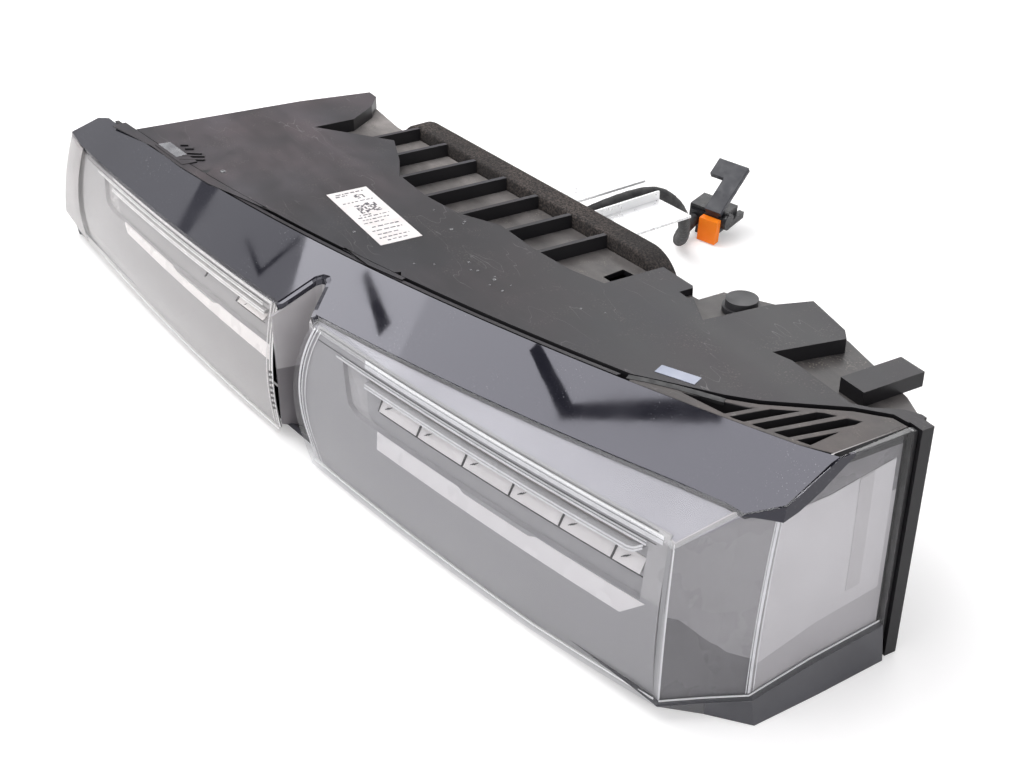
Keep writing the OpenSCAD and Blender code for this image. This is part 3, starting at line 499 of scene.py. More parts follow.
class LightSizes(bpy.types.PropertyGroup):
    lead: bpy.props.FloatProperty(
        name="Lead", description="Diameter of the lead", subtype="DISTANCE", unit="LENGTH",
        default=0.008)
    camera_lens: bpy.props.FloatProperty(
        name="Lens", description="Focal length of the camera", subtype="DISTANCE_CAMERA",
        unit="CAMERA", default=52.73)
    light: bpy.props.FloatProperty(
        name="Light", description="Strength of the world", default=0.75, min=0)


def colours():
    return bpy.context.scene.light_colours


def sizes():
    return bpy.context.scene.light_sizes


# Each light unit: its ends, blade (ends, share), row of cells (ends, shares), optic bar (left end with
# its shares, right end with its shares), waist and the left edge of its recess at two shares
NEAR_UNIT = dict(side="near", us=(276.0, 40.5), blade=(230, 60.5, 0.172),
                 cells=(218, 189, 157.5, 127, 96.5, 66.5, 50.5), cell_s=(0.198, 0.291),
                 bar=((218, 218, 0.425, 0.556), (47.5, 60.0, 0.433, 0.566)), waist=(160, 156, 114, 110),
                 recess=((0.119, 249), (0.42, 240)), recess_end=50.5)
FAR_UNIT = dict(side="far", us=(547.0, 309.0), blade=(499, 317.5, 0.15),
                cells=(344.5, 317.5), cell_s=(0.185, 0.235),
                bar=((479, 474.5, 0.354, 0.432), (311, 311, 0.366, 0.487)), waist=(416, 410, 368, 364),
                recess=((0.119, 514), (0.36, 505)), recess_end=310)
FACE_D = 4.2


# Dark bars above the lamp: both ends, in metres, and half the width at each
BARS = (((-1.035, -0.494, 1.1), (-0.893, -0.526, 1.1), 0.007, 0.015),
        ((-0.76, -0.45, 1.35), (-0.605, -0.475, 1.35), 0.011, 0.015),
        ((-0.615, -0.483, 1.35), (-0.35, -0.29, 1.35), 0.012, 0.02),
        ((-1.8, -0.76, 1.35), (-1.65, -0.78, 1.35), 0.004, 0.007),
        ((-1.59, -0.665, 1.35), (-1.655, -0.785, 1.35), 0.008, 0.009))


def card(name, material, corners):
    """A flat sheet of the stage."""
    mesh = bpy.data.meshes.new(name)
    mesh.from_pydata(corners, [], [(0, 1, 2, 3)])
    mesh.materials.append(material)
    o = bpy.data.objects.new(name, mesh)
    bpy.context.collection.objects.link(o)
    return o


def mirrored(name, material, corners):
    """A card above the lamp that only its gloss mirrors."""
    o = card(name, material, corners)
    o.visible_camera = o.visible_diffuse = o.visible_shadow = False


def make_studio():
    scene = bpy.context.scene
    scene.view_settings.view_transform = "Standard"
    cam = bpy.data.objects.new("camera", bpy.data.cameras.new("camera"))
    bpy.context.collection.objects.link(cam)
    cam.data.lens, cam.data.sensor_width = sizes().camera_lens, 36.0
    cam.data.clip_start = 0.01
    right, up = Vector((0.4981, 0.8660, 0.0436)), Vector((-0.5251, 0.2612, 0.8099))
    back = right.cross(up).normalized()
    up = back.cross(right).normalized()
    m = Matrix((right.normalized(), up, back)).transposed().to_4x4()
    m.translation = (0.62263, -0.3472, 0.52161)
    cam.matrix_world = m
    scene.camera = cam

    mat, nt = tree("floor_white")
    if nt:
        paper = put(nt, "BsdfDiffuse", {"Color": blend(
            nt, grain(nt, 6, 4), (0.8, 0.79, 0.785), (0.83, 0.825, 0.82))})
        # White as far as the horizon, and darker near the lamp, where its shadow lies
        away = put(nt, "VectorMath", {0: place(nt)}, operation="LENGTH")
        glow = put(nt, "Emission", {"Color": (1, 0.995, 0.99, 1), "Strength": ramp(
            nt, away.outputs["Value"], 0.75, 2.6, 0.31, 1.0)})
        seen = put(nt, "LightPath").outputs["Is Camera Ray"]
        dark = put(nt, "BsdfTransparent", {"Color": (0, 0, 0, 1)})
        add = put(nt, "MixShader", {"Fac": seen, 1: dark.outputs[0], 2: glow.outputs[0]})
        finish_shader(mat, nt, put(nt, "AddShader", {0: paper.outputs[0], 1: add.outputs[0]}))
    floor = card("floor", mat, [(-4, -4, 0), (4, -4, 0), (4, 4, 0), (-4, 4, 0)])
    floor.location.z = -0.0002

    world = bpy.data.worlds.new("studio")
    scene.world = world
    world.use_nodes = True
    nt = world.node_tree
    nt.nodes.clear()
    path = put(nt, "LightPath")
    shown = calc(nt, "MAXIMUM", path.outputs["Is Camera Ray"], path.outputs["Is Transmission Ray"])
    way = axis(nt, put(nt, "TexCoord").outputs["Generated"], "Z")
    sky = blend(nt, ramp(nt, way, 0.1, 0.75), (0.92, 0.92, 0.92), (0.42, 0.42, 0.45))
    lit = put(nt, "Background", {"Color": sky, "Strength": sizes().light})
    white = put(nt, "Background", {"Color": (1, 1, 1, 1), "Strength": 1.0})
    mix = put(nt, "MixShader", {"Fac": shown, 1: lit.outputs[0], 2: white.outputs[0]})
    nt.links.new(mix.outputs[0], put(nt, "OutputWorld").inputs["Surface"])

    for name, at, aim, size, power in (
            ("key", (-0.62, -0.52, 1.5), (-0.1, -0.1, 0.1), (1.5, 1.4), 25),
            ("top", (-2.1, -0.8, 1.5), (-0.3, -0.2, 0.1), (1.2, 1.3), 5),
            ("front", (0.5, -1.5, 0.6), (0, -0.1, 0.05), (1.2, 0.8), 5),
            ("fill", (1.6, 0.0, 0.8), (0.1, 0, 0.05), (0.9, 0.8), 9),
            ("rear", (-0.9, 1.3, 1.1), (0, 0, 0.05), (1.4, 0.5), 9)):
        lamp = bpy.data.lights.new(name, "AREA")
        lamp.shape, lamp.size, lamp.size_y, lamp.energy = "RECTANGLE", *size, power
        o = bpy.data.objects.new(name, lamp)
        o.location = at
        o.rotation_euler = (Vector(aim) - Vector(at)).to_track_quat("-Z", "Y").to_euler()
        o.visible_camera = False
        bpy.context.collection.objects.link(o)

    # Dark bars below the lamps, which the gloss roof mirrors as the photo's window frames
    night = moulded("stage_dark", (0.01, 0.01, 0.012), (0.014, 0.014, 0.016), 0.9)
    for i, (a, b, wide, end) in enumerate(BARS):
        a, b = Vector(a), Vector(b)
        side = (b - a).normalized().cross(Vector((0, 0, 1)))
        mirrored(f"stage_bar_{i}", night, [a - side * wide, a + side * wide, b + side * end, b - side * end])
    dim, nt = tree("stage_dim")
    if nt:
        tone = blend(nt, ramp(nt, axis(nt, place(nt), "X"), -3.0, -2.1), (0.1, 0.1, 0.12), (0.44, 0.44, 0.47))
        finish_shader(dim, nt, put(nt, "Emission", {"Color": tone}))
    mirrored("stage_card", dim,
             [(-4.5, -1.6, 1.36), (-2.1, -1.6, 1.36), (-2.1, -0.2, 1.36), (-4.5, -0.2, 1.36)])


class LIGHT_OT_studio(bpy.types.Operator):
    """Camera, floor, backdrop and lamps"""
    bl_idname = "light.studio"
    bl_label = "Studio"

    def execute(self, context):
        make_studio()
        return {"FINISHED"}


LEAD_ROUTE = [(-26.76, 81.97, 77.02), (-29, 110, 82), (-30, 138, 84), (-31, 156, 80), (-35, 172, 67),
              (-43, 186, 50), (-54, 197, 33), (-66, 206, 18), (-78, 213, 8), (-87, 222, 7),
              (-91.85, 235.99, 12.6)]


def lead_curve(n):
    """Smooth curve through the lead's route, with n points for each stretch."""
    r = [Vector(p) / 1000 for p in LEAD_ROUTE]
    last, path = len(r) - 1, []
    for i in range(last):
        a, b, c, d = r[max(i - 1, 0)], r[i], r[i + 1], r[min(i + 2, last)]
        for k in range(n):
            t = k / n
            path.append(0.5 * (2 * b + (c - a) * t + (2 * a - 5 * b + 4 * c - d) * t * t
                               + (3 * b - a - 3 * c + d) * t ** 3))
    return path + [r[last]]


def make_lead():
    path = lead_curve(10)
    length = sum((b - a).length for a, b in zip(path, path[1:]))
    r = sizes().lead / 2
    # Wraps of tape: the radius steps down along each turn
    radii, run = [], 0.0
    for i, p in enumerate(path):
        run += (p - path[i - 1]).length if i else 0.0
        radii.append(r * (0.97 + 0.06 * ((run / 0.009) % 1.0)))
    tape = moulded("lead_tape", (0.012, 0.012, 0.013), (0.035, 0.034, 0.034), 0.62, 160, 2500, 0.00012)
    o = piece("lead_taped", tube(path, radii, 20), tape, "lead", angle=60)
    dress("plug_body", moulded("plug_black", (0.01, 0.01, 0.012), (0.018, 0.018, 0.02), 0.34, 60), 0.5)
    dress("plug_cap", moulded("plug_grey", (0.02, 0.021, 0.028), (0.03, 0.031, 0.04), 0.42, 60), 0.5)
    dress("plug_lock", moulded("plug_orange", (1.0, 0.2, 0.0), (1.0, 0.24, 0.0), 0.55, 80), 0.5)
    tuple(path[0])


class LIGHT_OT_lead(bpy.types.Operator):
    """Taped lead and the connector at its end"""
    bl_idname = "light.lead"
    bl_label = "Lead"

    def execute(self, context):
        make_lead()
        return {"FINISHED"}


def dress(names, material, bevel=0.0):
    """Gives carried-over solids their material and rounds their edges."""
    for o in (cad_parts[name] for name in names.split()):
        for s in o.material_slots:
            s.material = material
        if not o.material_slots:
            o.data.materials.append(material)
        if bevel:
            o.modifiers.new("weld", "WELD").merge_threshold = 0.00002
            round_edges(o, bevel, 2, 35.0)


FACE_SHARES = [0.04, 0.1, 0.18, 0.25, 0.33, 0.4, 0.48, 0.55, 0.63, 0.7, 0.78, 0.85, 0.93, 0.97, 1.006]


def cover_lines(columns, d, top=True):
    """Lines of points at depth d behind the columns, from the roof's edge or the face's top down."""
    lines = []
    for c, m in zip(columns, mitres(columns)):
        head = [on_column(c, m, 0, d)]
        if top:
            x, y = c[0][0] - d * m[2] * m[0], c[0][1] - d * m[2] * m[1]
            head = [(*c[4], min(roof_z(*c[4]), c[1] + 30) - d),
                    (x, y, min(roof_z(x, y), c[1] + 1) - d if d else c[1])]
        lines.append(head + [on_column(c, m, s, d) for s in FACE_SHARES])
    return lines


def make_covers():
    near = [column(u) for u in spread(NEAR_EDGE, NEAR_U, 48)] + WRAP
    outer, inner = cover_lines(near, 0), cover_lines(near, COVER_T)
    for lines, d in ((outer, 0), (inner, COVER_T)):
        lines[0] = lines[0][:2] + [behind(notch_edge(s), s, d) for s in FACE_SHARES]
    piece("cover_near", skin(bmesh.new(), outer, inner), clear("cover_near_clear", colours().near_tint),
          "near_cover", 0.7, 3, 16)
    far = TAIL + [column(u) for u in spread(FAR_U, FAR_EDGE, 48)]
    bm = skin(bmesh.new(), cover_lines(far, 0, False), cover_lines(far, COVER_T, False))
    piece("cover_far", bm, clear("cover_far_clear", colours().far_tint),
          "far_cover", 1.0, 3, 16)


class LIGHT_OT_covers(bpy.types.Operator):
    """Clear covers over both light units"""
    bl_idname = "light.covers"
    bl_label = "Covers"

    def execute(self, context):
        make_covers()
        return {"FINISHED"}


# Outline of the notch in the roof: share of its width and distance outwards
NOTCH_PATH = [(0.5, 44), (0.5, 38), (0.3, 23), (0.2, 15.5), (0.08, 12.6), (-0.06, 12), (-0.15, 13.5),
              (-0.22, 18), (-0.31, 25), (-0.41, 32), (-0.5, 38), (-0.5, 44)]


def notch_a(u):
    x = (u - NOTCH_U) / NOTCH_W
    if abs(x) >= 0.5:
        return 99.0
    return between(x, NOTCH_PATH[1:-1])


def make_roof():
    gloss, nt = tree("roof_gloss")
    if nt:
        smear = ramp(nt, grain(nt, 20, 5), 0.35, 0.7, 0.02, 0.07)
        dust = times(nt, ramp(nt, grain(nt, 1300, 2), 0.68, 0.72), ramp(nt, grain(nt, 25, 3), 0.45, 0.65))
        colour = blend(nt, dust, tuple(colours().roof), (0.2, 0.2, 0.21))
        plastic(gloss, nt, {
            "Base Color": colour, "Roughness": smear, "IOR": 1.62, "Specular Tint": (0.9, 0.89, 1.0, 1),
            "Normal": bump(nt, grain(nt, 45, 2), 0.2, 0.00004)})
    us = spread(552, 308, 60) + spread(306.4, 273.6, 60) + spread(272, 52, 60)
    rows = [((-539, -151.5), (-546.5, -168.2))]
    rows += [(plan(u, 0), plan(u, min(black_a(u) - SEAM, notch_a(u)))) for u in us]
    rows += [(plan(26, 0), WRAP[0][4]), (plan(10, 0), WRAP[1][4]), (WRAP[3][4], WRAP[2][4])]
    outer, inner = [], []
    for a, b in rows:
        line = [(a[0] + (b[0] - a[0]) * f, a[1] + (b[1] - a[1]) * f) for f in spread(0, 1, 6)]
        o = unit((b[0] - a[0], b[1] - a[1]))
        back = (a[0] + o[0] * COVER_T, a[1] + o[1] * COVER_T)
        outer.append([(*a, BAY_Z)] + [under_roof(*p, 0) for p in line])
        inner.append([(*back, BAY_Z)] + [under_roof(*p, COVER_T) for p in [back] + line[1:]])
    bm = skin(bmesh.new(), outer, inner)
    # Black arch: the rim of the notch goes down inside the lamp
    rim = [(NOTCH_U + x * NOTCH_W * 0.985, a) for x, a in NOTCH_PATH[1:-1]]
    rim = [(a[0] + (b[0] - a[0]) * f, a[1] + (b[1] - a[1]) * f)
           for a, b in zip(rim, rim[1:]) for f in (0, 0.34, 0.67)] + [rim[-1]]
    rim = [(u, min(a, black_a(u) - SEAM)) for u, a in rim]
    deep = [3 + 19 * math.sin(math.pi * i / (len(rim) - 1)) for i in range(len(rim))]
    outer, inner = [], []
    for i, ((u, a), d) in enumerate(zip(rim, deep)):
        p, q = rim[max(i - 1, 0)], rim[min(i + 1, len(rim) - 1)]
        n = unit((p[1] - q[1], q[0] - p[0]))
        if n[0] * (NOTCH_U - u) + n[1] * (34 - a) < 0:
            n = (-n[0], -n[1])
        z = roof_z(*plan(u, a))
        for lines, off, dip in ((outer, 2.5, 0), (inner, 1.5, 0.8)):
            foot = plan(u + n[0] * off, a + n[1] * off)
            lines.append([(*plan(u, a), z - 0.7 - dip), (*foot, z - 1.4 - dip), (*foot, z - d)])
    skin(bm, outer, inner)
    # Black lip: the roof's right end goes down behind the top of the wrapped cover
    lip = [(1.98, 0.004), (2.3, 0.025), (2.7, 0.05), (3.0, 0.07), (3.3, 0.085), (3.7, 0.08), (4.0, 0.062),
           (4.2, 0.012)]
    layer([[(t, s * f) for f in (0, 0.5, 1)] for t, s in lip], wrap_at, -0.12, 0.8, bm)
    piece("roof_gloss", bm, gloss, "roof_band", 0.4, 2, 28)
    # Trim: it stands back behind the front's covers and comes forward round the wrapped end
    us = spread(FAR_U, NEAR_U, 60)
    columns = TAIL + [column(u) for u in us] + WRAP
    recess = [3.0] * len(TAIL) + [0.92 * drop_at(u) for u in us] + [0.0] * len(WRAP)
    kicks = TAIL_KICK + (KICK,) * len(us) + WRAP_KICK
    outer, inner = [], []
    for c, m, e, kick in zip(columns, mitres(columns), recess, kicks):
        for lines, top, foot in ((outer, e * m[2], kick), (inner, (e + COVER_T) * m[2], kick + 8 * m[2])):
            x, y = c[2][0] - foot * m[0], c[2][1] - foot * m[1]
            lines.append([(c[2][0] - top * m[0], c[2][1] - top * m[1], c[3] - 0.1), (x, y, floor_z(x))])
    trim = moulded("trim_gloss", (0.05, 0.05, 0.058), (0.07, 0.07, 0.08), 0.2, 25, 300, 0.00001,
                   coat=0.4, spread_of=0.05)
    piece("trim_low", skin(bmesh.new(), outer, inner), trim, "lower_trim", 0.8, 3, 12)


class LIGHT_OT_roof(bpy.types.Operator):
    """Gloss roof band and the lower trim"""
    bl_idname = "light.roof"
    bl_label = "Roof and trim"

    def execute(self, context):
        make_roof()
        return {"FINISHED"}


def build_unit(k, skins, line, ink):
    side, (u0, u1), (s0, l0), (s1, l1) = k["side"], k["us"], *k["recess"]
    (c0, c1), (b0, b1, blade_s), cells = k["cell_s"], k["blade"], k["cells"]
    near, floor = side == "near", k["recess_end"]

    def left(s):
        """Left edge of the recess, which rounds into its lower edge."""
        return l0 + (l1 - l0) * (s - s0) / (s1 - s0) - 7 * max(0, (s - s1 + 0.05) / 0.05) ** 2

    def at(u, s, d):
        end = notch_edge(s) - 2 if near else u0
        inner = left(min(max(s, s0), s1))
        return behind(between(u, [(u0, end), (l0, inner), (l0 - 40, l0 - 40), (u1, u1)]), s, d)

    def depth(u, s):
        if s < s0 - 0.003:
            return FACE_D - 0.2
        return FACE_D + (2.6 if s0 <= s < s1 and floor < u < l0 else 0.0)

    def region(u, s):
        if s0 < s < blade_s - 0.004 and b1 < u < b0:
            return 1
        return 4 if s0 < s < s1 and l0 - 16 < u < l0 or near and u < 50 and s < 0.4 else 0

    us = sorted(set(spread(u0, u1, 120) + edges([l0, floor, l0 - 16], 0.3)), reverse=True)
    ss = sorted(set(spread(0.0, 1.0, 40) + edges([s0, s1], 0.006) + [blade_s - 0.004]))
    piece(f"bezel_{side}", relief(us, ss, depth, 1.2, region, at), skins,
          (f"{side}_bezel", f"{side}_optic_bar", f"{side}_cell_reflector"), angle=40)

    # Optic bar with its waist, flush with the face
    (lt, lb, st0, sb0), (rt, rb, st1, sb1) = k["bar"]
    w = k["waist"]
    waist = [(lt, 0), (w[0], 0), (w[1], 1), (w[2], 1), (w[3], 0), (rt, 0)]
    rows = []
    for u in sorted(set(spread(lt, rt, 50) + list(w)), reverse=True):
        f = (lt - u) / (lt - rt)
        rows.append([(u, st0 + (st1 - st0) * f + 0.021 * between(u, waist)),
                     (lb + (rb - lb) * f, sb0 + (sb1 - sb0) * f)])
    piece(f"bar_{side}", layer(rows, behind, FACE_D - 0.35, FACE_D + 0.6), skins[3],
          bevel=0.15)

    # Cells: slanted pale faces, each with ticks in its upper left corner
    bm, marks = bmesh.new(), bmesh.new()
    for a, b in zip(cells, cells[1:]):
        skin(bm, *([[behind(u, c0, FACE_D + top), behind(u + 1.6, c1, FACE_D + low)]
                    for u in spread(a - 0.5, b + 0.5, 8)] for top, low in ((2.2, 0.6), (3.4, 3.4))))
        for j in range(3):
            x, s = a - 3.2 - 1.2 * j, c0 - 0.008 * j
            ribbon(marks, [(x, s + 0.058, FACE_D + 0.9), (x - 2.0, s + 0.038, FACE_D + 1.3)], 0.35, 0.3)
    piece(f"cells_{side}", bm, skins[2], bevel=0.2)
    for c in cells[1:-1] if near else (378, 344.5):
        ribbon(marks, [(c, c0, FACE_D + 1.0), (c + 1.8, c1, FACE_D + 0.3)], 0.6, 1.2)
    ribbon(marks, [(cells[0], c0, FACE_D + 1.2), (cells[0] + 1, c1, FACE_D + 0.3)], 0.4, 1.2)
    ribbon(marks, [(u, c1 + 0.004, FACE_D + 0.5) for u in spread(cells[0], cells[-1], 40)], 0.35, 0.4)
    for s, wide in ((0.079, 0.3), (0.008, 0.35)):
        ribbon(marks, [(u, s, FACE_D - 0.75) for u in spread(u0 - 6, u1 + 6, 60)], wide, 0.2)
    if not near:
        # Teeth of glue along the lower part of the edge at the notch
        for s in spread(0.56, 0.875, 7):
            ribbon(marks, [(FAR_EDGE + 1.0, s, 3.1), (FAR_EDGE + 4.4, s + 0.02, 3.1)], 1.5, 0.3)
    piece(f"joints_{side}", marks, ink, angle=50)

    # Blade: a clear plate whose end turns up at the near unit's right, with painted highlights along its
    # edges
    edge = [(u, blade_s) for u in spread(b0, b1, 40)]
    if near:
        edge += [(57.0, blade_s - 0.012), (52.8, blade_s - 0.05)]
    bm = skin(bmesh.new(), *([[behind(u, s - up, d), behind(u, s + down, d)] for u, s in edge]
                             for up, down, d in ((0.006, 0.012, FACE_D - 0.8), (0.02, 0.02, FACE_D + 2.4))))
    piece(f"blade_{side}", bm, skins[4], f"{side}_light_guide", 0.2)
    bm = bmesh.new()
    # Painted highlights: white lines along both edges of the blade
    for off, wide in ((-0.006, 1.0), (0.012, 0.9)):
        ribbon(bm, [(u, s + off, FACE_D - 0.9) for u, s in edge], wide)
    # Painted highlights: white lines along the top of the face
    for s, wide, cut, end in ((0.107, 1.0, 24, 11), (0.09, 0.4, 20, 11),
                              (0.054, 2.1, 2, 3), (0.027, 1.9, 2, 3)):
        ribbon(bm, [(u, s, FACE_D - 0.75) for u in spread(min(u0, b0 + cut), u1 + end, 60)], wide, 0.4)
    # Painted highlights on the rims of the cover: along its foot and down the edge that meets the notch
    ribbon(bm, [(u, 0.995, 2.4) for u in spread(u0 + (0 if near else 4), u1 - 1, 80)], 0.9, 0.4)
    for off, wide in ((1.2, 1.2), (3.4, 0.6), (6.2, 0.5)):
        ribbon(bm, [(notch_edge(s) - off if near else FAR_EDGE + off, s, 3.2)
                    for s in spread(0.02, 0.985, 30)], wide, 0.3)
    piece(f"lines_{side}", bm, line, angle=50)
    if near:
        # Lining under the clear strip of the roof
        rows = [(u, black_a(u) - 1.0, u, roof_w(u) - 3.8) for u in spread(u0 - 1, 40, 60)]
        rows += [(26, 31, 38.5, 53.2), (18, 31.5, 37.5, 54.2)]
        rows = [[plan(r[0] + (r[2] - r[0]) * f, r[1] + (r[3] - r[1]) * f) for f in (0, 0.35, 0.7, 1)]
                for r in rows]
        piece("lining_roof", layer(rows, under_roof, 3.6, 4.8), skins[5])


def make_units():
    c = tuple(colours().bezel)
    silver = moulded("bezel_silver", c, tuple(1.1 * x for x in c), 0.36, 9, 1600, 0.00001, metal=0.25,
                     spread_of=0.06)
    shade = moulded("bezel_shade", (0.3, 0.275, 0.265), (0.38, 0.35, 0.34), 0.4, 14, 1600, 0.00001)
    pale = moulded("cell_pale", (0.86, 0.83, 0.81), (0.94, 0.91, 0.89), 0.3, 40, 500, 0.00001)
    white = moulded("optic_white", (0.95, 0.92, 0.91), (0.98, 0.96, 0.95), 0.3, 20, 1500, 0.00002)
    # White of the painted highlight lines
    line = moulded("highlight_white", (0.92, 0.92, 0.92), (0.98, 0.98, 0.98), 0.25, 60, 300, 0.00001)
    ink = moulded("joint_dark", (0.03, 0.03, 0.03), (0.06, 0.06, 0.06), 0.5, 60)
    milk = moulded("light_milky", (0.5, 0.49, 0.49), (0.6, 0.59, 0.59), 0.3, 30)
    roof = moulded("lining_pale", (0.3, 0.29, 0.33), (0.38, 0.37, 0.41), 0.55, 12, 60, SMOOTH)
    for unit_ in (NEAR_UNIT, FAR_UNIT):
        build_unit(unit_, (silver, shade, pale, white, milk, roof), line, ink)
    dress("near_led_board far_led_board",
          moulded("board_green", (0.02, 0.09, 0.05), (0.03, 0.12, 0.06), 0.4, 200))
    dress("led_chips", moulded("chip_yellow", (0.75, 0.62, 0.2), (0.85, 0.72, 0.3), 0.35, 400))


class LIGHT_OT_units(bpy.types.Operator):
    """Bezels, light guides, reflector cells and optic bars behind the covers"""
    bl_idname = "light.units"
    bl_label = "Light units"

    def execute(self, context):
        make_units()
        return {"FINISHED"}


# Two tones for each layer of the light in the corner, from the edge of the bezel to the corner itself
GLOW = ((0.4, 0.46), (0.47, 0.52), (0.58, 0.64), (0.8, 0.88))


def make_ends():
    grey = moulded("corner_grey", (0.35, 0.34, 0.345), (0.42, 0.41, 0.415), 0.3, 14, 900, SMOOTH)
    flank = moulded("flank_grey", (0.52, 0.5, 0.505), (0.6, 0.58, 0.585), 0.4, 14, 90, SMOOTH)
    # Grey of the painted shade band on the frosted panel
    shade_band = moulded("panel_shade_band", (0.62, 0.6, 0.6), (0.7, 0.68, 0.68), 0.5, 20, 90, SMOOTH)
    dark = moulded("corner_dark", (0.16, 0.155, 0.162), (0.2, 0.195, 0.2), 0.3, 14, 900, SMOOTH)
    night = moulded("corner_night", (0.2, 0.195, 0.2), (0.26, 0.25, 0.255), 0.3, 14, 900, SMOOTH)
    frosted = moulded("diffuser_frosted", (0.72, 0.7, 0.7), (0.8, 0.78, 0.78), 0.45, 20, 900, SMOOTH)
    # White of the painted highlight lines
    line = moulded("highlight_white", (0.92, 0.92, 0.92), (0.98, 0.98, 0.98), 0.25, 60, 300, 0.00001)

    ss = spread(0.0, 1.0, 60)
    for name, ts, node in (("lining_corner", spread(0.84, 2.96, 80), "corner_bezel"),
                           ("lining_flank", spread(3.04, 4.97, 40), "side_diffuser")):
        bm = relief(ts, ss, lambda t, s: 4.0, 1.0, lambda t, s: 1 if t < 3 else 4 if s < 0.3 else 0, wrap_at)
        piece(name, bm, (flank, dark, frosted, grey, night), node)

    def sheet(name, material, ends, top, low, d, n=40):
        """Thin facing from the line of shares top down to low, between two places of the wrapped end."""
        rows = []
        for t in spread(*ends, n):
            a, b = between(-t, top), between(-t, low)
            rows.append([(t, a + (b - a) * f) for f in spread(0, 1, 20)])
        piece(name, layer(rows, wrap_at, d, d + 0.2), material)

    # Lines of shares are keyed by -t
    wave = [(-1, 0.43), (-1.2, 0.465), (-1.4, 0.53), (-1.65, 0.61), (-1.9, 0.675), (-2.3, 0.735), (-3, 0.785)]
    sheet("facet_upper", grey, (0.9, 2.965), [(0, 0.0), (-5, 0.0)], wave, 3.7)
    sheet("panel_frosted", frosted, (3.05, 4.9), [(-3, 0.075), (-4, 0.185), (-5, 0.13)],
          [(-3, 0.83), (-5, 0.79)], 3.7)
    # Painted shade: a darker band down the frosted panel
    sheet("panel_shade", shade_band, (4.4, 4.6), [(-4, 0.19), (-5, 0.135)], [(-4, 0.72), (-5, 0.72)], 3.45, 4)
    # Light that gathers in the corner, wider towards its foot
    for i, ((top, low), tone) in enumerate(zip(((7, 7), (1.2, 7), (0.9, 4), (0.7, 1.8)), GLOW)):
        rows = [[(1 - 0.034 * (top + (low - top) * s) * f, s) for s in spread(0.0, 1.0, 30)]
                for f in (1, 0.5, 0)]
        glow = moulded(f"corner_glow_{i}", *((x, x, x) for x in tone), 0.4, 20, 90, SMOOTH)
        piece(f"corner_light_{i}", layer(rows, wrap_at, 3.9 - 0.12 * i, 3.96 - 0.12 * i), glow)
    # Painted highlights: white lines down the folds of the wrapped end and along its foot
    bm = bmesh.new()
    for t, wide, d in ((3.0, 1.3, 3.3), (2.93, 0.4, 3.3), (3.07, 0.5, 3.3), (1.0, 0.6, 3.1)):
        ribbon(bm, [(t, s, d) for s in spread(0.03, 0.985, 24)], wide, 0.4, wrap_at)
    ribbon(bm, [(t, 0.995, 2.8) for t in spread(1.0, 5.0, 40)], 0.9, 0.4, wrap_at)
    piece("lines_end", bm, line, angle=50)

    tail = TAIL + [column(FAR_U), column(546)]
    lining, haze = ([[(c, m, s) for s in spread(*ends, 20)] for c, m in zip(tail, mitres(tail))]
                    for ends in ((0.02, 1.0), (0.0, 1.02)))
    tail_grey = moulded("tail_grey", (0.44, 0.42, 0.42), (0.52, 0.5, 0.5), 0.35, 12, 900, SMOOTH)
    piece("lining_tail", layer(lining, on_column, 4.2, 5.2), tail_grey)
    piece("tail_haze", layer(haze, on_column, 1.2, 1.5),
          clear("tail_hazy", (0.9, 0.885, 0.885), 0.1, 1.2, 0.72, (0.5, 0.48, 0.48)))


class LIGHT_OT_ends(bpy.types.Operator):
    """Linings and painted highlights along the folds, behind the wrapped end and the far end"""
    bl_idname = "light.ends"
    bl_label = "Wrapped end and far end"

    def execute(self, context):
        make_ends()
        return {"FINISHED"}


# On the deck, in the drawing frame: ends of the comb's ridges, drops with their radius, and the inner
# line of its border
COMB = [((-462, -122.6), (-459.6, -118.4)), ((-455.2, -122.2), (-452.4, -117.4)),
        ((-447.8, -123.4), (-442.2, -115.9)), ((-444.8, -127.6), (-437.6, -115.9)),
        ((-440.6, -130.8), (-432.4, -117.6))]
DROPS = [(-411.5, -114, 2.3), (-254.2, -89.7, 1.2), (-296.8, -81.2, 1.3), (-232.8, -44.2, 1.2),
         (-222.1, -44.7, 1.1), (-208.7, -42.2, 1.5), (-195.9, -44.7, 1.0), (-272.9, -33.3, 1.5),
         (-278, -22.1, 1.1), (-276, -24, 0.8), (-224.6, -47.5, 0.8), (-211.5, -40.5, 0.9), (-205, -47, 0.8),
         (-199, -38, 0.7), (-246, -70, 0.8), (-240, -61, 0.7), (-331, -60, 0.7), (-300, -30, 0.8),
         (-160, -20, 0.9), (-150, -12, 0.7)]
BORDER = [(-515, -149.5), (-470, -138.5), (-431, -134), (-398, -128), (-352, -113), (-338, -105),
          (-318, -102), (-281, -94), (-256, -92), (-232, -84)]


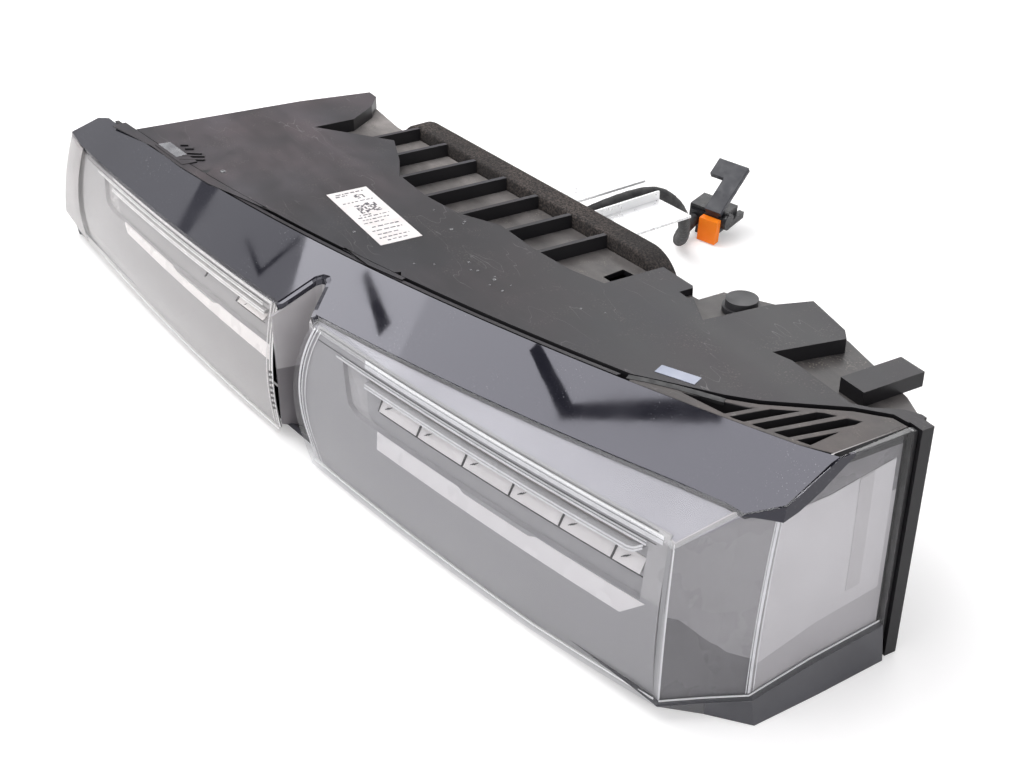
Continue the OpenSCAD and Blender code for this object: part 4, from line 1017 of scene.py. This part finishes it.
def make_housing():
    black = dusty("housing_black", tuple(colours().housing), (0.082, 0.079, 0.09), 1.0, 0.35)
    dress("housing", black, 0.6)
    dress("corner_plate", dusty("plate_black", tuple(colours().housing), (0.2, 0.185, 0.178), 1.4, 1.0), 0.6)
    dress("near_carrier far_carrier", black)
    liner, nt = tree("liner_grey")
    if nt:
        tone = blend(nt, ramp(nt, grain(nt, 20, 4), 0.3, 0.7), (0.3, 0.285, 0.295), (0.4, 0.385, 0.395))
        # Painted shade: the liner is darker below 71 mm, low down in the notch
        tone = blend(nt, level(nt, 0.071, -0.0004, 0.0004), (0.17, 0.16, 0.17), tone)
        plastic(liner, nt, {"Base Color": tone,
                            "Roughness": ramp(nt, grain(nt, 60, 4), 0.3, 0.7, 0.12, 0.25)})
    dress("notch_liner", liner)
    rubber = moulded("seal_rubber", (0.008, 0.008, 0.009), (0.014, 0.014, 0.015), 0.45, 60, 1200)
    dress("sealing_bead side_seal lead_grommet", rubber, 0.3)
    dress("rating_label", moulded("label_paper", (0.7, 0.66, 0.65), (0.8, 0.77, 0.76), 0.6, 60, 900), 0.1)
    dress("code_label", moulded("label_grey", (0.3, 0.33, 0.42), (0.4, 0.42, 0.5), 0.4, 60, 900), 0.1)
    foil = moulded("label_foil", (0.3, 0.3, 0.32), (0.5, 0.5, 0.52), 0.28, 90, 900, 0.0001, metal=0.8)
    top = LAMP_H

    # Raised pad with the foil sticker and a comb of short ridges
    pad = [(-470.3, -136.4), (-431.8, -132.2), (-431.8, -122.5), (-463, -126.2), (-470, -127)]
    bm = prism(bmesh.new(), pad, top - 0.3, top + 0.9)
    for a, b in COMB:
        a, b = Vector(a), Vector(b)
        side = Vector((b.y - a.y, a.x - b.x)).normalized() * 0.8
        prism(bm, [a + side, b + side, b - side, a - side], top - 0.3, top + 1.2)
    piece("deck_pad", bm, black, bevel=0.35)
    sticker = [(-469.6, -134.2), (-444, -131.4), (-445, -124.6), (-468.6, -126.8)]
    piece("foil_sticker", prism(bmesh.new(), sticker, top + 0.8, top + 1.1), foil,
          "foil_label", 0.1)

    # Raised border of the deck along the roof
    rows = []
    for x, y in BORDER:
        h = math.atan2(x - CENTRE[0], CENTRE[1] - y)
        reach = ARC_R - 5.2
        rows.append([(CENTRE[0] + reach * math.sin(h), CENTRE[1] - reach * math.cos(h)), (x, y)])
    piece("deck_border", layer(rows, flat, top + 0.45, top - 0.3), black, bevel=0.2)

    # Painted shade: a black patch on the deck stands for a small recess; and the black strip in the seam at
    # the right
    bm = prism(bmesh.new(), [(-419.5, -124.9), (-413, -124.5), (-417.6, -119)], top - 0.3, top + 0.08)
    line = [(-93.5, -36.5), (-86, -30.4), (-76, -23.4), (-65, -16.5), (-54, -10.2)]
    layer([[(x - 1.0, y + 1.5), (x + 1.0, y - 1.5)] for x, y in line], flat, top + 0.25, top - 1.5, bm)
    piece("deck_gaps", bm, rubber, bevel=0.05)

    # Drops of clear glue on the deck
    bm = bmesh.new()
    for x, y, size in DROPS:
        for v in bmesh.ops.create_icosphere(bm, subdivisions=2, radius=1.0)["verts"]:
            v.co = stand((x + v.co.x * size, y + v.co.y * size * 0.8, top + v.co.z * size * 0.35))
    drop = moulded("drop_gloss", (0.05, 0.05, 0.055), (0.08, 0.08, 0.085), 0.08, 60, coat=1.0, spread_of=0.02)
    piece("deck_drops", bm, drop, angle=80)

    # Marks on the label: rows of dashes and two blocks of loose squares, which say nothing
    rnd, bm = random.Random(5), bmesh.new()

    def mark(x, y, w, h):
        k = math.radians(-1)
        corners = [(x, y), (x + w, y), (x + w, y + h), (x, y + h)]
        prism(bm, [(-349 + a * math.cos(k) - b * math.sin(k), -74.5 + a * math.sin(k) + b * math.cos(k))
                   for a, b in corners], top + 0.25, top + 0.36)

    for bx, by, n, cell in ((21, 7.5, 11, 1.15), (8, 13, 6, 0.95)):
        for i in range(n):
            for j in range(n):
                if rnd.random() < 0.5:
                    mark(bx + i * cell, by + j * cell, cell * 0.92, cell * 0.92)
    for x, y0, y1 in ((3.5, 4, 21), (6, 3, 10), (38, 3, 22), (42, 4, 20), (46, 3, 15), (52, 5, 22),
                      (57, 3, 21), (62, 4, 17), (66.5, 3, 21), (70.5, 6, 19), (16.5, 3, 22), (35.2, 5, 12)):
        y = y0
        while y < y1:
            step = rnd.uniform(0.8, 3.2)
            mark(x, y, rnd.uniform(0.7, 1.3), min(step, y1 - y))
            y += step + rnd.uniform(0.5, 1.4)
    piece("label_marks", bm, moulded("ink_grey", (0.07, 0.07, 0.08), (0.16, 0.15, 0.16), 0.6, 300))


class LIGHT_OT_housing(bpy.types.Operator):
    """Tub housing with its plates, seals, liner and labels"""
    bl_idname = "light.housing"
    bl_label = "Housing"

    def execute(self, context):
        make_housing()
        return {"FINISHED"}


def make_rear():
    foam, nt = tree("foam")
    if nt:
        grit = grain(nt, 820, 3, rough=0.7)
        pores = blend(nt, ramp(nt, grit, 0.42, 0.7), (0.012, 0.01, 0.01), (0.19, 0.15, 0.13))
        tone = blend(nt, ramp(nt, grain(nt, 30, 4), 0.3, 0.7, 0.2, 0.85), pores, (0.016, 0.014, 0.014))
        plastic(foam, nt, {"Base Color": tone, "Roughness": 0.95, "Normal": bump(nt, grit, 0.8, 0.0008)})
    dress("foam_gasket", foam, 1.5)
    black = moulded("cover_black", (0.022, 0.021, 0.024), (0.035, 0.034, 0.037), 0.45, 20, 1500)
    dress("rear_cover", black, 0.8)
    dress("vent_cap locating_pin", black, 0.5)
    dress("driver_module", moulded("module_grey", (0.1, 0.103, 0.11), (0.13, 0.133, 0.14), 0.4, 30), 0.8)
    dress("heat_sink", moulded("cast_metal", (0.33, 0.34, 0.35), (0.42, 0.43, 0.44), 0.42, 60, 1800, 0.0001,
                               metal=0.9), 0.3)
    dress("cover_screws mounting_studs",
          moulded("steel", (0.5, 0.5, 0.52), (0.6, 0.6, 0.61), 0.25, 60, 900, metal=1.0), 0.3)
    dress("bracket_upper bracket_lower",
          moulded("bright_sheet", (0.86, 0.86, 0.87), (0.93, 0.93, 0.93), 0.3, 30, 300, metal=0.55), 0.3)


class LIGHT_OT_rear(bpy.types.Operator):
    """Foam gasket, rear cover, driver, brackets and fixings"""
    bl_idname = "light.rear"
    bl_label = "Rear side"

    def execute(self, context):
        make_rear()
        return {"FINISHED"}


class LIGHT_PT_panel(bpy.types.Panel):
    """Lists the pieces of the light cluster"""
    bl_label = "Rear light cluster"
    bl_idname = "LIGHT_PT_panel"
    bl_space_type = "VIEW_3D"
    bl_region_type = "UI"
    bl_category = "Light"

    def draw(self, context):
        for group in (context.scene.light_sizes, context.scene.light_colours):
            for name in group.__annotations__:
                self.layout.prop(group, name)
        for step in STEPS:
            self.layout.operator(step.bl_idname)


STEPS = (LIGHT_OT_studio, LIGHT_OT_lead, LIGHT_OT_covers, LIGHT_OT_roof, LIGHT_OT_units, LIGHT_OT_ends,
         LIGHT_OT_housing, LIGHT_OT_rear)
CLASSES = (LightColours, LightSizes, *STEPS, LIGHT_PT_panel)


def register():
    for c in CLASSES:
        bpy.utils.register_class(c)
    bpy.types.Scene.light_colours = bpy.props.PointerProperty(type=LightColours)
    bpy.types.Scene.light_sizes = bpy.props.PointerProperty(type=LightSizes)


def unregister():
    del bpy.types.Scene.light_sizes
    del bpy.types.Scene.light_colours
    for c in reversed(CLASSES):
        bpy.utils.unregister_class(c)


def main():
    register()
    for step in STEPS:
        group, name = step.bl_idname.split(".")
        getattr(getattr(bpy.ops, group), name)()


if __name__ == "__main__":
    main()
